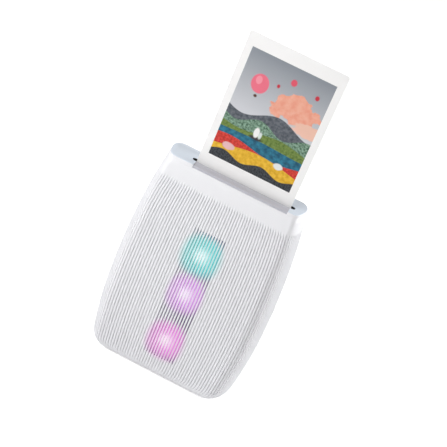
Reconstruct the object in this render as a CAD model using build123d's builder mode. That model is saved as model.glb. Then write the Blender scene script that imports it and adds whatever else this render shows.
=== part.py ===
from build123d import *
from math import cos, pi, radians, sin, sqrt, tan
import os

# Pocket instant-film photo printer, standing upright on its flat base.
# Millimetres. X runs to the right as seen from the ribbed front, Y runs to the
# back, Z runs up, and the origin is the middle of the footprint on the table.

# --- overall size of the housing ---
body_width = 90.3
body_depth = 34.6
body_height = 124.5

# --- barrel outline seen from the front ---
top_width = 77.0
base_width = 81.0
widest_height = 47.0
upper_taper_power = 2.3
lower_taper_power = 2.0
base_radius = 8.5

# --- side profile: the front and the back lean in towards the top ---
lean_start = 84.0
front_lean = 5.3
rear_lean = 5.4
rear_top_radius = 8.0

# --- rounded corners of each horizontal section, narrower where the housing leans ---
corner_width = 8.65
corner_width_top = 4.5
corner_steps = 6

# --- shell ---
wall = 1.8
cap_thickness = 1.8
rounding_steps = 3
body_steps = 2
fit_gap = 0.2

# --- a facet through four corners is split in two when one corner is further out of its plane ---
flatness = 0.00001

# --- vertical ribs that wrap the front cover ---
rib_count = 71
rib_depth = 0.4
rib_trace = 0.012
rib_fade_start = 104.0
rib_top = 113.0

# --- window of narrow slots between the middle ribs, lit from behind ---
window_slots = 12
window_slot_width = 0.6
window_bottom = 14.0
window_top = 95.0

# --- instant film sheet and its pack ---
sheet_width = 54.0
sheet_height = 86.0
sheet_thickness = 0.3
picture_width = 46.0
picture_height = 62.0
pod_border = 16.8
picture_recess = 0.12
picture_thickness = 0.1
sheet_corner = 1.2
film_x = 3.8
film_y = -5.7
sheet_in_slot = 10.1
spare_sheets = 9
spare_pitch = 0.3
spare_thickness = 0.28
spare_gap = 0.15
sheet_lift = 2.0
pack_width = 62.0
pack_height = 91.0
pack_depth = 12.8
pack_wall = 1.0
pack_window_margin = 0.8
pack_slit = 1.0
pack_sheet_gap = 0.25
pack_hole_width = 12.0
pack_hole_height = 16.0
pack_hole_spread = 15.0
pack_hole_z = 50.0

# --- film slot in the top ---
slot_width = 58.7
slot_depth = 3.0
lip_width = 53.8
lip_rim = 0.5
lip_thickness = 1.0
lip_step = 0.25
lip_fall = 0.5

# --- chassis: the film chamber that carries everything inside ---
chassis_wall = 1.2
chamber_gap = 0.5
chassis_bottom = 4.6
chassis_rear = 9.0
pack_lift = 0.2
chassis_window_width = 50.0
chassis_window_height = 66.0
chassis_foot_width = 3.0
chassis_foot_spread = 23.0
sheet_slit = 1.8
sheet_slit_margin = 1.0

# --- screws that hold the chassis to the front cover ---
screw_x = 38.4
screw_low = 16.0
screw_high = 88.0
screw_diameter = 2.0
screw_head_diameter = 3.3
screw_head_height = 1.3
screw_length = 2.8
screw_slot = 0.5
boss_diameter = 4.0
boss_length = 6.0
ear_height = 6.0
ear_reach = 39.5
screw_gap = 0.05

# --- developing rollers above the pack ---
roller_height = 106.0
roller_diameter = 6.5
nip_gap = 0.5
roller_length = 57.0
roller_end_gap = 0.5
journal_diameter = 3.0
journal_gap = 0.04
cheek_wall = 1.2
cheek_front = -12.2
cheek_rear = 4.6
bracket_top = 111.6
bracket_bar = 1.4

# --- gears on the left of the rollers ---
gear_module = 0.5
gear_width = 1.3
gear_plane_gap = 0.2
gear_backlash = 0.08
addendum = 0.8
dedendum = 1.1
pressure_angle = 20.0
roller_teeth = 14
idler_teeth = 16
small_teeth = 12
large_teeth = 34
pinion_teeth = 10
idler_direction = -42.0
reduction_direction = -80.0
motor_direction = -100.0
gear_inner_x = -29.4
post_diameter = 2.0
post_gap = 0.04

# --- drive motor ---
motor_diameter = 14.0
motor_length = 7.6
motor_boss_diameter = 4.0
motor_boss_length = 0.3
motor_shaft_diameter = 1.5
motor_front_gap = 0.4
cradle_wall = 1.6
cradle_length = 7.0
cradle_gap = 0.05

# --- exposure head ---
head_height = 3.6
head_front = -12.2
head_film_gap = 0.5
head_lens_width = 1.4
head_lens_depth = 0.4

# --- film guide and light seals below the slot ---
guide_wall = 1.0
guide_gap = 0.2
seal_gap = 0.25
seal_low = 113.2
seal_high = 121.0
guide_half_depth = 2.5

# --- pick claw that pushes each sheet into the rollers ---
claw_thickness = 0.8
claw_width = 6.0
claw_height = 30.0
claw_bottom = 14.0
claw_y = 0.0
claw_tab_height = 5.0
claw_tab_width = 3.0
claw_travel = 8.0
claw_gap = 0.15

# --- lighting behind the ribs ---
rail_x = 10.6
rail_wall = 0.8
lamp_heights = (81.0, 56.0, 25.0)
lamp_size = 5.0
lamp_thickness = 1.2
lamp_lens_diameter = 3.6
lamp_lens_height = 0.4
diffuser_thickness = 1.2
diffuser_y = -14.6
led_board_y = -11.2
led_board_thickness = 1.0
led_board_bottom = 12.0
led_board_top = 97.0

# --- main board with the charging socket ---
board_left = -36.0
board_right = -12.6
board_bottom = 20.0
board_top = 72.0
board_y = -12.4
board_thickness = 1.2
board_post_diameter = 4.0
board_corner = 1.5
board_post_inset = 4.0
chip_sizes = ((9.0, 9.0, 1.0), (6.0, 6.0, 0.9), (5.0, 3.0, 0.8), (4.0, 4.0, 0.8))
chip_places = ((-24.0, 58.0), (-18.0, 44.0), (-28.0, 44.0), (-20.0, 28.0))
socket_height = 30.0
socket_width = 8.94
socket_depth = 3.26
socket_length = 7.4
socket_wall = 0.3
socket_reach = -42.4
socket_floor = 2.0
socket_hole_gap = 0.4
tongue_width = 6.7
tongue_thickness = 0.7
tongue_set_back = 1.0

# --- battery ---
battery_left = 12.6
battery_width = 21.6
battery_bottom = 18.0
battery_height = 52.0
battery_thickness = 5.8
battery_corner = 2.0
battery_tape = 0.1

# --- power button on the right side ---
button_height = 58.0
button_y = 3.2
button_length = 8.6
button_width = 3.6
button_gap = 0.2
button_flange = 1.0
button_flange_thickness = 1.2
button_travel = 0.4
switch_body = 1.4
switch_length = 6.0
switch_width = 3.6
switch_nub = 0.45
switch_nub_diameter = 2.0
switch_board_length = 13.0
switch_board_width = 8.0
switch_board_thickness = 1.0
switch_clearance = 0.05

# --- film door in the back ---
door_half_width = 36.0
door_top = 101.0
door_corner = 4.25
door_gap = 0.2
hinge_height = 8.5
hinge_radius = 2.5
hinge_pin_diameter = 2.0
hinge_pin_gap = 0.05
hinge_half_length = 30.0
hinge_shoulder = 4.0
hinge_jamb = 3.0
jamb_gap = 0.2
pad_length = 14.0
pad_width = 10.0
pad_wall = 1.2
pad_pack_gap = 0.3
door_rib_height = 1.6
door_rib_wall = 1.2
door_rib_places = (28.0, 72.0)

# --- sliding lock at the top of the door ---
lock_width = 20.0
lock_height = 9.0
lock_thickness = 1.2
lock_travel = 2.0
lock_gap = 0.3
lock_knob_width = 12.0
lock_knob_height = 4.0
lock_slot_margin = 0.3
lock_top_gap = 0.4
lock_grip = 3
lock_grip_depth = 0.3
lock_grip_width = 0.6

# --- worked out from the sizes above ---
half_width = body_width / 2
half_depth = body_depth / 2
cover_top = body_height - cap_thickness
sheet_bottom = body_height - sheet_in_slot
picture_bottom = sheet_bottom + pod_border
pack_bottom = chassis_bottom + chassis_wall + pack_lift
pack_top = pack_bottom + pack_height
sheet_parked = pack_bottom + pack_wall + sheet_lift
pack_front = film_y - sheet_thickness / 2 - pack_sheet_gap - pack_wall
pack_rear = pack_front + pack_depth
chamber_left = film_x - pack_width / 2 - chamber_gap
chamber_right = film_x + pack_width / 2 + chamber_gap
chassis_left = chamber_left - chassis_wall
chassis_right = chamber_right + chassis_wall
chassis_inner_front = pack_front - pack_lift
chassis_front = chassis_inner_front - chassis_wall
chassis_top = pack_top + chassis_wall + pack_lift * 2
roller_spacing = roller_diameter + nip_gap
front_roller_y = film_y - roller_spacing / 2
rear_roller_y = film_y + roller_spacing / 2
roller_left = film_x - roller_length / 2
roller_right = film_x + roller_length / 2
cheek_left = roller_left - roller_end_gap - cheek_wall
cheek_right = roller_right + roller_end_gap
gear_outer_x = gear_inner_x - gear_width - gear_plane_gap
motor_front_x = gear_outer_x - gear_width - motor_front_gap
lamp_face_y = led_board_y - lamp_thickness
hinge_y = half_depth - hinge_radius


def lean(height, reach):
    """How far a face that leans in towards the top has come by a height."""
    share = max(height - lean_start, 0) / (body_height - lean_start)
    return reach * share**2


def foot_pull(height, inset):
    """How far the rounded foot draws an outline in at a height."""
    radius = base_radius - inset
    below = min(max(base_radius - height, 0), radius)
    return radius - sqrt(radius**2 - below**2)


def side_x(height, inset=0):
    """Half width of the barrel at a height."""
    if height > widest_height:
        share = (height - widest_height) / (body_height - widest_height)
        taper = (body_width - top_width) / 2 * share**upper_taper_power
    else:
        share = (widest_height - height) / widest_height
        taper = (body_width - base_width) / 2 * share**lower_taper_power
    return half_width - taper - inset - foot_pull(height, inset)


def front_y(height, inset=0):
    """Depth of the front face at a height."""
    return -half_depth + lean(height, front_lean) + inset + foot_pull(height, inset)


def rear_y(height, inset=0):
    """Depth of the back face at a height, with its rounded top edge."""
    radius = rear_top_radius - inset
    above = min(max(height - body_height + rear_top_radius, 0), radius)
    pull = radius - sqrt(radius**2 - above**2)
    return half_depth - lean(height, rear_lean) - inset - foot_pull(height, inset) - pull


def corner_x(height, inset=0):
    """Width of the rounded corner of the section at a height."""
    share = max(height - lean_start, 0) / (body_height - lean_start)
    return corner_width + (corner_width_top - corner_width) * share - inset


def wall_x(height, depth, inset=0):
    """Where the side of the housing stands at a height and a depth."""
    reach = front_y(height, inset) if depth < 0 else rear_y(height, inset)
    corner = corner_x(height, inset)
    return side_x(height, inset) - corner * (1 - sqrt(1 - (depth / reach) ** 2))


def foot_heights(inset):
    """Heights of the sections that turn the rounded foot."""
    radius = base_radius - inset
    turns = [pi / 2 * step / rounding_steps for step in range(rounding_steps + 1)]
    return [inset + radius * (1 - cos(turn)) for turn in turns]


def body_heights():
    """Heights of the sections of the ribbed length: its widest place, where it starts to lean and between."""
    heights = []
    for low, high in ((base_radius, widest_height), (widest_height, lean_start)):
        heights += [low + (high - low) * step / body_steps for step in range(1, body_steps + 1)]
    return heights + [rib_fade_start]


def shoulder_heights(top):
    """Heights of the sections that turn the rounded top edge of the back."""
    low = body_height - rear_top_radius
    return [low + (top - low) * sin(pi / 2 * step / rounding_steps) for step in range(rounding_steps + 1)]


def front_edge(height):
    """Smooth front edge of a section, from the left side round to the right side."""
    side = side_x(height)
    corner = corner_x(height)
    front = front_y(height)
    with BuildLine() as edge:
        EllipticalCenterArc((corner - side, 0), corner, -front, start_angle=180, arc_size=90)
        Line((corner - side, front), (side - corner, front))
        EllipticalCenterArc((side - corner, 0), corner, -front, start_angle=270, arc_size=90)
    return edge.line


def half_points(height, reach, inset=0, steps=corner_steps):
    """One half of a section from the left side round to the right side, its corners in even steps."""
    side = side_x(height, inset)
    corner = corner_x(height, inset)
    turns = [pi / 2 * step / steps for step in range(steps + 1)]
    right = [(side - corner * (1 - cos(turn)), reach * sin(turn)) for turn in turns]
    left = [(-x, y) for x, y in right]
    return left + right[::-1]


def section_points(height, inset=0):
    """Whole section of the housing at a height."""
    front = half_points(height, front_y(height, inset), inset)
    rear = half_points(height, rear_y(height, inset), inset)
    return front + rear[-2:0:-1]


def smooth_edge(height):
    """Points of the front edge of a section below and above the ribs."""
    return half_points(height, front_y(height), steps=2 * corner_steps)


def rib_depth_at(height):
    """Depth of the grooves between the ribs, running out at the foot and the top."""
    if height >= rib_fade_start:
        share = (rib_top - height) / (rib_top - rib_fade_start)
    else:
        rib_foot = foot_heights(0)[-2]
        share = (height - rib_foot) / (base_radius - rib_foot)
    return rib_trace + (rib_depth - rib_trace) * min(max(share, 0), 1)


def ribbed_edge(height):
    """Points of the front edge of a section, out on each rib and in between."""
    edge = Wire(front_edge(height).edges())
    depth = rib_depth_at(height)
    points = []
    for step in range(2 * rib_count + 1):
        place = edge.position_at(step / (2 * rib_count))
        along = edge.tangent_at(step / (2 * rib_count))
        cut = 0 if step % 2 or step in (0, 2 * rib_count) else depth
        points.append((place.X - along.Y * cut, place.Y + along.X * cut))
    return points


def rib_groove_x(slot):
    """Middle of a window slot, on the groove between two ribs."""
    edge = Wire(front_edge(widest_height).edges())
    pitch = edge.length / rib_count
    return pitch * (slot - (window_slots - 1) / 2)


def lofted(heights, outline):
    """Solid through the outlines at a row of heights, in flat facets from each to the next."""
    rings = [[Vector(x, y, height) for x, y in outline(height)] for height in heights]
    faces = [Face(Wire.make_polygon(rings[0])), Face(Wire.make_polygon(rings[-1]))]
    for lower, upper in zip(rings, rings[1:]):
        for step in range(len(lower)):
            corners = [lower[step - 1], lower[step], upper[step], upper[step - 1]]
            normal = (corners[1] - corners[0]).cross(corners[2] - corners[0]).normalized()
            if abs(normal.dot(corners[3] - corners[0])) < flatness:
                faces.append(Face(Wire.make_polygon(corners)))
            else:
                faces.append(Face(Wire.make_polygon(corners[:3])))
                faces.append(Face(Wire.make_polygon([corners[0], corners[2], corners[3]])))
    return Solid(Shell(faces))


def make_cavity():
    """The hollow inside the housing, from the floor to the underside of the cap."""
    heights = foot_heights(wall) + body_heights() + [rib_top] + shoulder_heights(cover_top)
    return lofted(heights, lambda height: section_points(height, wall))


def make_front_fittings():
    """Rails, posts and bosses inside the front cover, rooted half way into its wall."""
    rail_height = led_board_top - led_board_bottom
    rail_middle = (led_board_top + led_board_bottom) / 2
    rail_centre = rail_x + rail_wall / 2
    board_posts = (
        (board_left + board_post_inset, board_bottom + board_post_inset),
        (board_right - board_post_inset, board_top - board_post_inset),
    )
    screw_places = [(side * screw_x, height) for side in (-1, 1) for height in (screw_low, screw_high)]
    heights = foot_heights(wall / 2) + body_heights() + [rib_top]
    roots = lofted(heights, lambda height: section_points(height, wall / 2))
    with BuildPart() as fittings:
        # rails that hold the diffuser and the lamp board
        with BuildSketch(Plane.XZ.offset(-led_board_y)):
            with Locations((-rail_centre, rail_middle), (rail_centre, rail_middle)):
                Rectangle(rail_wall, rail_height)
        extrude(amount=led_board_y + half_depth)
        # posts under the main board
        with BuildSketch(Plane.XZ.offset(-board_y)):
            with Locations(*board_posts):
                Circle(board_post_diameter / 2)
        extrude(amount=board_y + half_depth)
        # screw bosses for the chassis
        with BuildSketch(Plane.XZ.offset(-chassis_front)):
            with Locations(*screw_places):
                Circle(boss_diameter / 2)
                Circle(screw_diameter / 2 + screw_gap, mode=Mode.SUBTRACT)
        extrude(amount=boss_length)
        add(roots, mode=Mode.INTERSECT)
    return fittings.part


def make_front_cover(cavity):
    """Front half of the housing: fine upright ribs that wrap round to the parting line."""
    foot = foot_heights(0)
    barrel = lofted(foot[-2:] + body_heights() + [rib_top], ribbed_edge)
    smooth_foot = lofted(foot[:-1], smooth_edge)
    smooth_collar = lofted([rib_top, cover_top], smooth_edge)
    slot_height = window_top - window_bottom
    slot_middle = (window_top + window_bottom) / 2
    with BuildPart() as front_cover:
        add([barrel, smooth_foot, smooth_collar])
        add(cavity, mode=Mode.SUBTRACT)
        # slots that let the lamps shine out between the ribs
        with BuildSketch(Plane.XZ.offset(half_depth)):
            with Locations(*[(rib_groove_x(slot), slot_middle) for slot in range(window_slots)]):
                Rectangle(window_slot_width, slot_height)
        extrude(amount=-3 * wall, mode=Mode.SUBTRACT)
        add(make_front_fittings())
        # hole for the charging socket
        with BuildSketch(Plane.YZ.offset(-half_width)):
            with Locations((board_y + board_thickness + socket_depth / 2, socket_height)):
                SlotOverall(
                    socket_width + 2 * socket_hole_gap,
                    socket_depth + 2 * socket_hole_gap,
                    rotation=90,
                )
        extrude(amount=half_width + board_left, mode=Mode.SUBTRACT)
    front_cover.part.label = "front_cover"
    export_step(front_cover.part, "parts/front_cover.step")
    return front_cover.part


def make_rear_shell(cavity):
    """Back half of the housing before the door is cut out of it."""
    heights = foot_heights(0) + body_heights() + [rib_top] + shoulder_heights(body_height)[:-1]
    heights = [height for height in heights if height < cover_top] + [cover_top]
    body = lofted(heights, lambda height: half_points(height, rear_y(height)))
    with BuildPart() as rear_shell:
        add(body)
        add(cavity, mode=Mode.SUBTRACT)
    return rear_shell.part


def door_region(gap):
    """Block that the door or its opening fills: rounded top corners, foot narrowed at the hinge."""
    half = door_half_width - gap
    top = door_top - gap
    shoulder = hinge_shoulder + gap - door_gap
    foot = hinge_half_length - gap
    with BuildPart() as region:
        with BuildSketch(Plane.XZ.offset(rear_lean - half_depth)):
            with Locations((0, (top + hinge_height) / 2)):
                Rectangle(2 * half, top - hinge_height)
        extrude(amount=-2 * rear_lean)
        top_edges = region.edges().filter_by(Axis.Y).group_by(Axis.Z)[-1]
        fillet(top_edges, door_corner)
        # the shoulders are round about the hinge, so that the door swings past them
        with Locations((0, hinge_y, hinge_height)):
            Cylinder(shoulder, 2 * door_half_width, rotation=(0, 90, 0), mode=Mode.SUBTRACT)
        with BuildSketch(Plane.XZ.offset(-hinge_y)):
            with Locations((0, hinge_height + shoulder / 2)):
                Rectangle(2 * foot, shoulder)
        extrude(amount=-half_depth)
    return region.part


def make_rear_cover(rear_shell):
    """Back half of the housing: opening for the film door, jambs for its pin and the button hole."""
    opening = door_region(0)
    trough = hinge_radius + door_gap
    with BuildPart() as rear_cover:
        add(rear_shell)
        # jambs that carry the ends of the hinge pin
        for side in (-1, 1):
            with BuildSketch(Plane.YZ.offset(side * hinge_half_length)):
                with Locations((hinge_y, hinge_height)):
                    Circle(hinge_radius - jamb_gap)
            extrude(amount=side * hinge_jamb)
        add(opening, mode=Mode.SUBTRACT)
        # the swinging foot of the door turns in this trough
        with Locations((0, hinge_y, hinge_height)):
            Cylinder(trough, 2 * hinge_half_length, rotation=(0, 90, 0), mode=Mode.SUBTRACT)
        with Locations((0, hinge_y + trough, hinge_height - trough / 2)):
            Box(2 * hinge_half_length, 2 * trough, trough, mode=Mode.SUBTRACT)
        with Locations((0, hinge_y, hinge_height)):
            Cylinder(
                hinge_pin_diameter / 2 + hinge_pin_gap / 2,
                2 * (hinge_half_length + hinge_jamb),
                rotation=(0, 90, 0),
                mode=Mode.SUBTRACT,
            )
        # hole for the power button
        with BuildSketch(Plane.YZ.offset(half_width)):
            with Locations((button_y, button_height)):
                SlotOverall(button_length + 2 * button_gap, button_width + 2 * button_gap, rotation=90)
        extrude(amount=-2 * corner_width, mode=Mode.SUBTRACT)
    rear_cover.part.label = "rear_cover"
    export_step(rear_cover.part, "parts/rear_cover.step")
    return rear_cover.part


def make_top_cap():
    """Flat lid with the film slot and a shallow place for the slot lip."""
    steps = [cover_top, body_height - cap_thickness / 2, body_height - cap_thickness / 5, body_height]
    body = lofted(steps, section_points)
    with BuildPart() as top_cap:
        add(body)
        with BuildSketch(Plane.XY.offset(body_height)):
            with Locations((film_x, film_y)):
                SlotOverall(slot_width, slot_depth)
        extrude(amount=-cap_thickness, mode=Mode.SUBTRACT)
        lip_front = front_y(body_height) + lip_rim
        lip_rear = film_y - slot_depth / 2 + lip_rim
        with Locations((film_x, (lip_front + lip_rear) / 2, body_height - lip_thickness / 2)):
            Box(lip_width, lip_rear - lip_front, lip_thickness, mode=Mode.SUBTRACT)
    top_cap.part.label = "top_cap"
    export_step(top_cap.part, "parts/top_cap.step")
    return top_cap.part


def make_slot_lip():
    """Grey lip in front of the slot, falling gently towards the front."""
    lip_front = front_y(body_height) + lip_rim
    lip_rear = film_y - slot_depth / 2
    floor = body_height - lip_thickness
    with BuildPart() as slot_lip:
        with BuildSketch(Plane.YZ.offset(film_x - lip_width / 2)):
            with BuildLine():
                Polyline(
                    (lip_front, floor),
                    (lip_rear, floor),
                    (lip_rear, body_height - lip_step),
                    (lip_front, body_height - lip_step - lip_fall),
                    close=True,
                )
            make_face()
        extrude(amount=lip_width)
    slot_lip.part.label = "slot_lip"
    export_step(slot_lip.part, "parts/slot_lip.step")


def make_film_door(rear_shell):
    """Film door cut from the same back surface, with its hinge barrel, pressure posts and lock slot."""
    panel = rear_shell & door_region(door_gap)
    barrel = hinge_half_length - door_gap
    post_front = pack_rear + pad_pack_gap
    inner = half_depth - wall
    lock_z = door_top - lock_top_gap - lock_height / 2
    with BuildPart() as film_door:
        add(panel)
        with Locations((0, hinge_y, hinge_height)):
            Cylinder(hinge_radius, 2 * barrel, rotation=(0, 90, 0))
            Cylinder(
                hinge_pin_diameter / 2 + hinge_pin_gap,
                2 * barrel,
                rotation=(0, 90, 0),
                mode=Mode.SUBTRACT,
            )
        # two hollow posts that press the film pack forwards
        for side in (-1, 1):
            place = (film_x + side * pack_hole_spread, (post_front + inner) / 2, pack_hole_z)
            with Locations(place):
                Box(pad_width, inner - post_front, pad_length)
                Box(
                    pad_width - 2 * pad_wall,
                    inner - post_front,
                    pad_length - 2 * pad_wall,
                    mode=Mode.SUBTRACT,
                )
        # stiffening ribs across the inside
        for height in door_rib_places:
            with Locations((0, inner - door_rib_height / 2, height)):
                Box(2 * barrel, door_rib_height, door_rib_wall)
        # slot that the knob of the lock slides in
        slot_low = lock_z - lock_knob_height / 2 - lock_slot_margin
        slot_high = lock_z + lock_knob_height / 2 + lock_travel + lock_slot_margin
        with Locations((0, half_depth, (slot_low + slot_high) / 2)):
            Box(
                lock_knob_width + 2 * lock_slot_margin,
                2 * rear_lean,
                slot_high - slot_low,
                mode=Mode.SUBTRACT,
            )
    film_door.part.label = "film_door"
    export_step(film_door.part, "parts/film_door.step")


def make_hinge_pin():
    """Steel pin through the door barrel, held by the jambs of the rear cover."""
    length = 2 * (hinge_half_length + hinge_jamb) - jamb_gap
    with BuildPart() as hinge_pin:
        with Locations((0, hinge_y, hinge_height)):
            Cylinder(hinge_pin_diameter / 2, length, rotation=(0, 90, 0))
    hinge_pin.part.label = "hinge_pin"
    export_step(hinge_pin.part, "parts/hinge_pin.step")


def make_door_lock():
    """Sliding lock: a plate behind the door with a grooved knob in the door's slot."""
    lock_z = door_top - lock_top_gap - lock_height / 2
    plate_rear = rear_y(door_top + lock_travel, wall) - lock_gap
    knob_rear = rear_y(lock_z + lock_knob_height / 2 + lock_travel) - lock_gap
    with BuildPart() as door_lock:
        with Locations((0, plate_rear - lock_thickness / 2, lock_z)):
            Box(lock_width, lock_thickness, lock_height)
        with Locations((0, (knob_rear + plate_rear) / 2 - lock_thickness / 4, lock_z)):
            Box(lock_knob_width, knob_rear - plate_rear + lock_thickness / 2, lock_knob_height)
        for step in range(lock_grip):
            groove_z = lock_z + (step - (lock_grip - 1) / 2) * 2 * lock_grip_width
            with Locations((0, knob_rear, groove_z)):
                Box(lock_knob_width, 2 * lock_grip_depth, lock_grip_width, mode=Mode.SUBTRACT)
    door_lock.part.label = "door_lock"
    export_step(door_lock.part, "parts/door_lock.step")


def make_power_button():
    """Rounded button flush with the right side, kept in by its flange."""
    face = wall_x(button_height, button_y)
    flange_face = wall_x(button_height, button_y, wall) - 3 * button_gap
    with BuildPart() as power_button:
        with BuildSketch(Plane.YZ.offset(face)):
            with Locations((button_y, button_height)):
                SlotOverall(button_length, button_width, rotation=90)
        extrude(amount=flange_face - face)
        chamfer(power_button.faces().sort_by(Axis.X)[-1].edges(), button_gap)
        with BuildSketch(Plane.YZ.offset(flange_face)):
            with Locations((button_y, button_height)):
                SlotOverall(button_length + 2 * button_flange, button_width + 2 * button_flange, rotation=90)
        extrude(amount=-button_flange_thickness)
    power_button.part.label = "power_button"
    export_step(power_button.part, "parts/power_button.step")


def make_power_switch():
    """Push switch on its own small board behind the button."""
    flange_face = wall_x(button_height, button_y, wall) - 3 * button_gap
    nub_tip = flange_face - button_flange_thickness - button_travel - switch_clearance
    body_face = nub_tip - switch_nub
    with BuildPart() as power_switch:
        with Locations((body_face + switch_nub / 2, button_y, button_height)):
            Cylinder(switch_nub_diameter / 2, switch_nub, rotation=(0, 90, 0))
        with Locations((body_face - switch_body / 2, button_y, button_height)):
            Box(switch_body, switch_width, switch_length)
    power_switch.part.label = "power_switch"
    export_step(power_switch.part, "parts/power_switch.step")
    board_face = body_face - switch_body
    with BuildPart() as switch_board:
        with Locations((board_face - switch_board_thickness / 2, button_y, button_height)):
            Box(switch_board_thickness, switch_board_width, switch_board_length)
    switch_board.part.label = "switch_board"
    export_step(switch_board.part, "parts/switch_board.step")
    return board_face - switch_board_thickness


def make_print_sheet():
    """Sheet standing in the slot: white frame with a shallow place for the picture."""
    with BuildPart() as print_sheet:
        with BuildSketch(Plane.XZ.offset(-film_y - sheet_thickness / 2)):
            with Locations((film_x, sheet_bottom + sheet_height / 2)):
                RectangleRounded(sheet_width, sheet_height, sheet_corner)
        extrude(amount=sheet_thickness)
        with BuildSketch(Plane.XZ.offset(-film_y + sheet_thickness / 2)):
            with Locations((film_x, picture_bottom + picture_height / 2)):
                Rectangle(picture_width, picture_height)
        extrude(amount=-picture_recess, mode=Mode.SUBTRACT)
    print_sheet.part.label = "print_sheet"
    export_step(print_sheet.part, "parts/print_sheet.step")
    with BuildPart() as print_picture:
        with BuildSketch(Plane.XZ.offset(-film_y + sheet_thickness / 2 - picture_recess)):
            with Locations((film_x, picture_bottom + picture_height / 2)):
                Rectangle(picture_width, picture_height)
        extrude(amount=picture_thickness)
    print_picture.part.label = "print_picture"
    export_step(print_picture.part, "parts/print_picture.step")


def make_film_pack():
    """Plastic film cartridge: picture window in front, exit slit on top, two holes for the door's posts."""
    middle_y = (pack_front + pack_rear) / 2
    middle_z = (pack_bottom + pack_top) / 2
    window_z = sheet_parked + pod_border + picture_height / 2
    with BuildPart() as film_pack:
        with Locations((film_x, middle_y, middle_z)):
            Box(pack_width, pack_depth, pack_height)
            Box(
                pack_width - 2 * pack_wall,
                pack_depth - 2 * pack_wall,
                pack_height - 2 * pack_wall,
                mode=Mode.SUBTRACT,
            )
        with Locations((film_x, pack_front + pack_wall / 2, window_z)):
            Box(
                picture_width + 2 * pack_window_margin,
                pack_wall,
                picture_height + 2 * pack_window_margin,
                mode=Mode.SUBTRACT,
            )
        with Locations((film_x, film_y, pack_top - pack_wall / 2)):
            Box(sheet_width + pack_slit, pack_slit, pack_wall, mode=Mode.SUBTRACT)
        for side in (-1, 1):
            with Locations((film_x + side * pack_hole_spread, pack_rear - pack_wall / 2, pack_hole_z)):
                Box(pack_hole_width, pack_wall, pack_hole_height, mode=Mode.SUBTRACT)
    film_pack.part.label = "film_pack"
    export_step(film_pack.part, "parts/film_pack.step")


def make_film_stack():
    """Unexposed sheets waiting behind the exit slit, and the sprung plate that presses them forwards."""
    first = film_y + sheet_thickness / 2 + spare_gap
    middle_z = sheet_parked + sheet_height / 2
    with BuildPart() as film_stack:
        for sheet in range(spare_sheets):
            with Locations((film_x, first + spare_pitch * sheet + spare_thickness / 2, middle_z)):
                Box(sheet_width, spare_thickness, sheet_height)
    film_stack.part.label = "film_stack"
    export_step(film_stack.part, "parts/film_stack.step")
    plate_front = first + spare_pitch * spare_sheets
    plate_rear = pack_rear - pack_wall
    reach = plate_rear - plate_front - sheet_thickness
    with BuildPart() as pack_spring:
        for side in (-1, 1):
            foot_z = pack_hole_z + side * (pack_hole_height + pad_length)
            with BuildSketch(Plane.YZ.offset(film_x - pack_hole_spread)):
                with BuildLine():
                    Polyline(
                        (plate_front, pack_hole_z),
                        (plate_front, foot_z + side * reach),
                        (plate_front + sheet_thickness, foot_z + side * reach),
                        (plate_front + sheet_thickness, pack_hole_z),
                        close=True,
                    )
                make_face()
            extrude(amount=2 * pack_hole_spread)
            with BuildSketch(Plane.YZ.offset(film_x - pack_hole_spread / 2)):
                with BuildLine():
                    Polyline(
                        (plate_front + sheet_thickness, foot_z),
                        (plate_rear, foot_z - side * reach),
                        (plate_rear, foot_z - side * reach + side * 2 * sheet_thickness),
                        (plate_front + sheet_thickness, foot_z + side * 2 * sheet_thickness),
                        close=True,
                    )
                make_face()
            extrude(amount=pack_hole_spread)
    pack_spring.part.label = "pack_spring"
    export_step(pack_spring.part, "parts/pack_spring.step")


def gear_points(teeth, phase, centre):
    """Outline of a spur gear with straight flanks, one tooth centred on the phase angle."""
    pitch_radius = gear_module * teeth / 2
    tip_radius = pitch_radius + addendum * gear_module
    root_radius = pitch_radius - dedendum * gear_module
    half_tooth = pi * gear_module / 4 - gear_backlash
    points = []
    for tooth in range(teeth):
        middle = phase + 2 * pi * tooth / teeth
        corners = ((root_radius, -1), (tip_radius, -1), (tip_radius, 1), (root_radius, 1))
        for radius, side in corners:
            half = half_tooth - (radius - pitch_radius) * tan(radians(pressure_angle))
            angle = middle + side * half / radius
            points.append((centre[0] + radius * cos(angle), centre[1] + radius * sin(angle)))
    return points


def mesh_phase(teeth, phase, other_teeth, direction):
    """Phase of the next gear, so that a tooth of the first one points into a gap of the next."""
    share = (direction - phase) * teeth / (2 * pi)
    return direction + pi - (0.5 - share) * 2 * pi / other_teeth


def gear_solid(teeth, phase, centre, inner_x, bore, width=gear_width):
    """One spur gear, lying against its inner plane and reaching outwards."""
    with BuildPart() as gear:
        with BuildSketch(Plane.YZ.offset(inner_x)):
            with BuildLine():
                Polyline(*gear_points(teeth, phase, centre), close=True)
            make_face()
            if bore:
                with Locations(centre):
                    Circle(bore / 2, mode=Mode.SUBTRACT)
        extrude(amount=-width)
    return gear.part


def gear_train():
    """Centres and phases of the gears, from the front roller down to the motor."""
    places = {"front_roller": ((front_roller_y, roller_height), 0.0, roller_teeth)}
    phase = mesh_phase(roller_teeth, 0.0, roller_teeth, 0.0)
    places["rear_roller"] = ((rear_roller_y, roller_height), phase, roller_teeth)
    chain = (
        ("idler", roller_teeth, idler_teeth, idler_direction),
        ("reduction", idler_teeth, small_teeth, reduction_direction),
        ("motor", large_teeth, pinion_teeth, motor_direction),
    )
    centre = places["rear_roller"][0]
    for name, teeth, other_teeth, degrees_down in chain:
        direction = radians(degrees_down)
        distance = gear_module * (teeth + other_teeth) / 2
        centre = (centre[0] + distance * cos(direction), centre[1] + distance * sin(direction))
        phase = mesh_phase(teeth, phase, other_teeth, direction)
        places[name] = (centre, phase, other_teeth)
    return places


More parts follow.
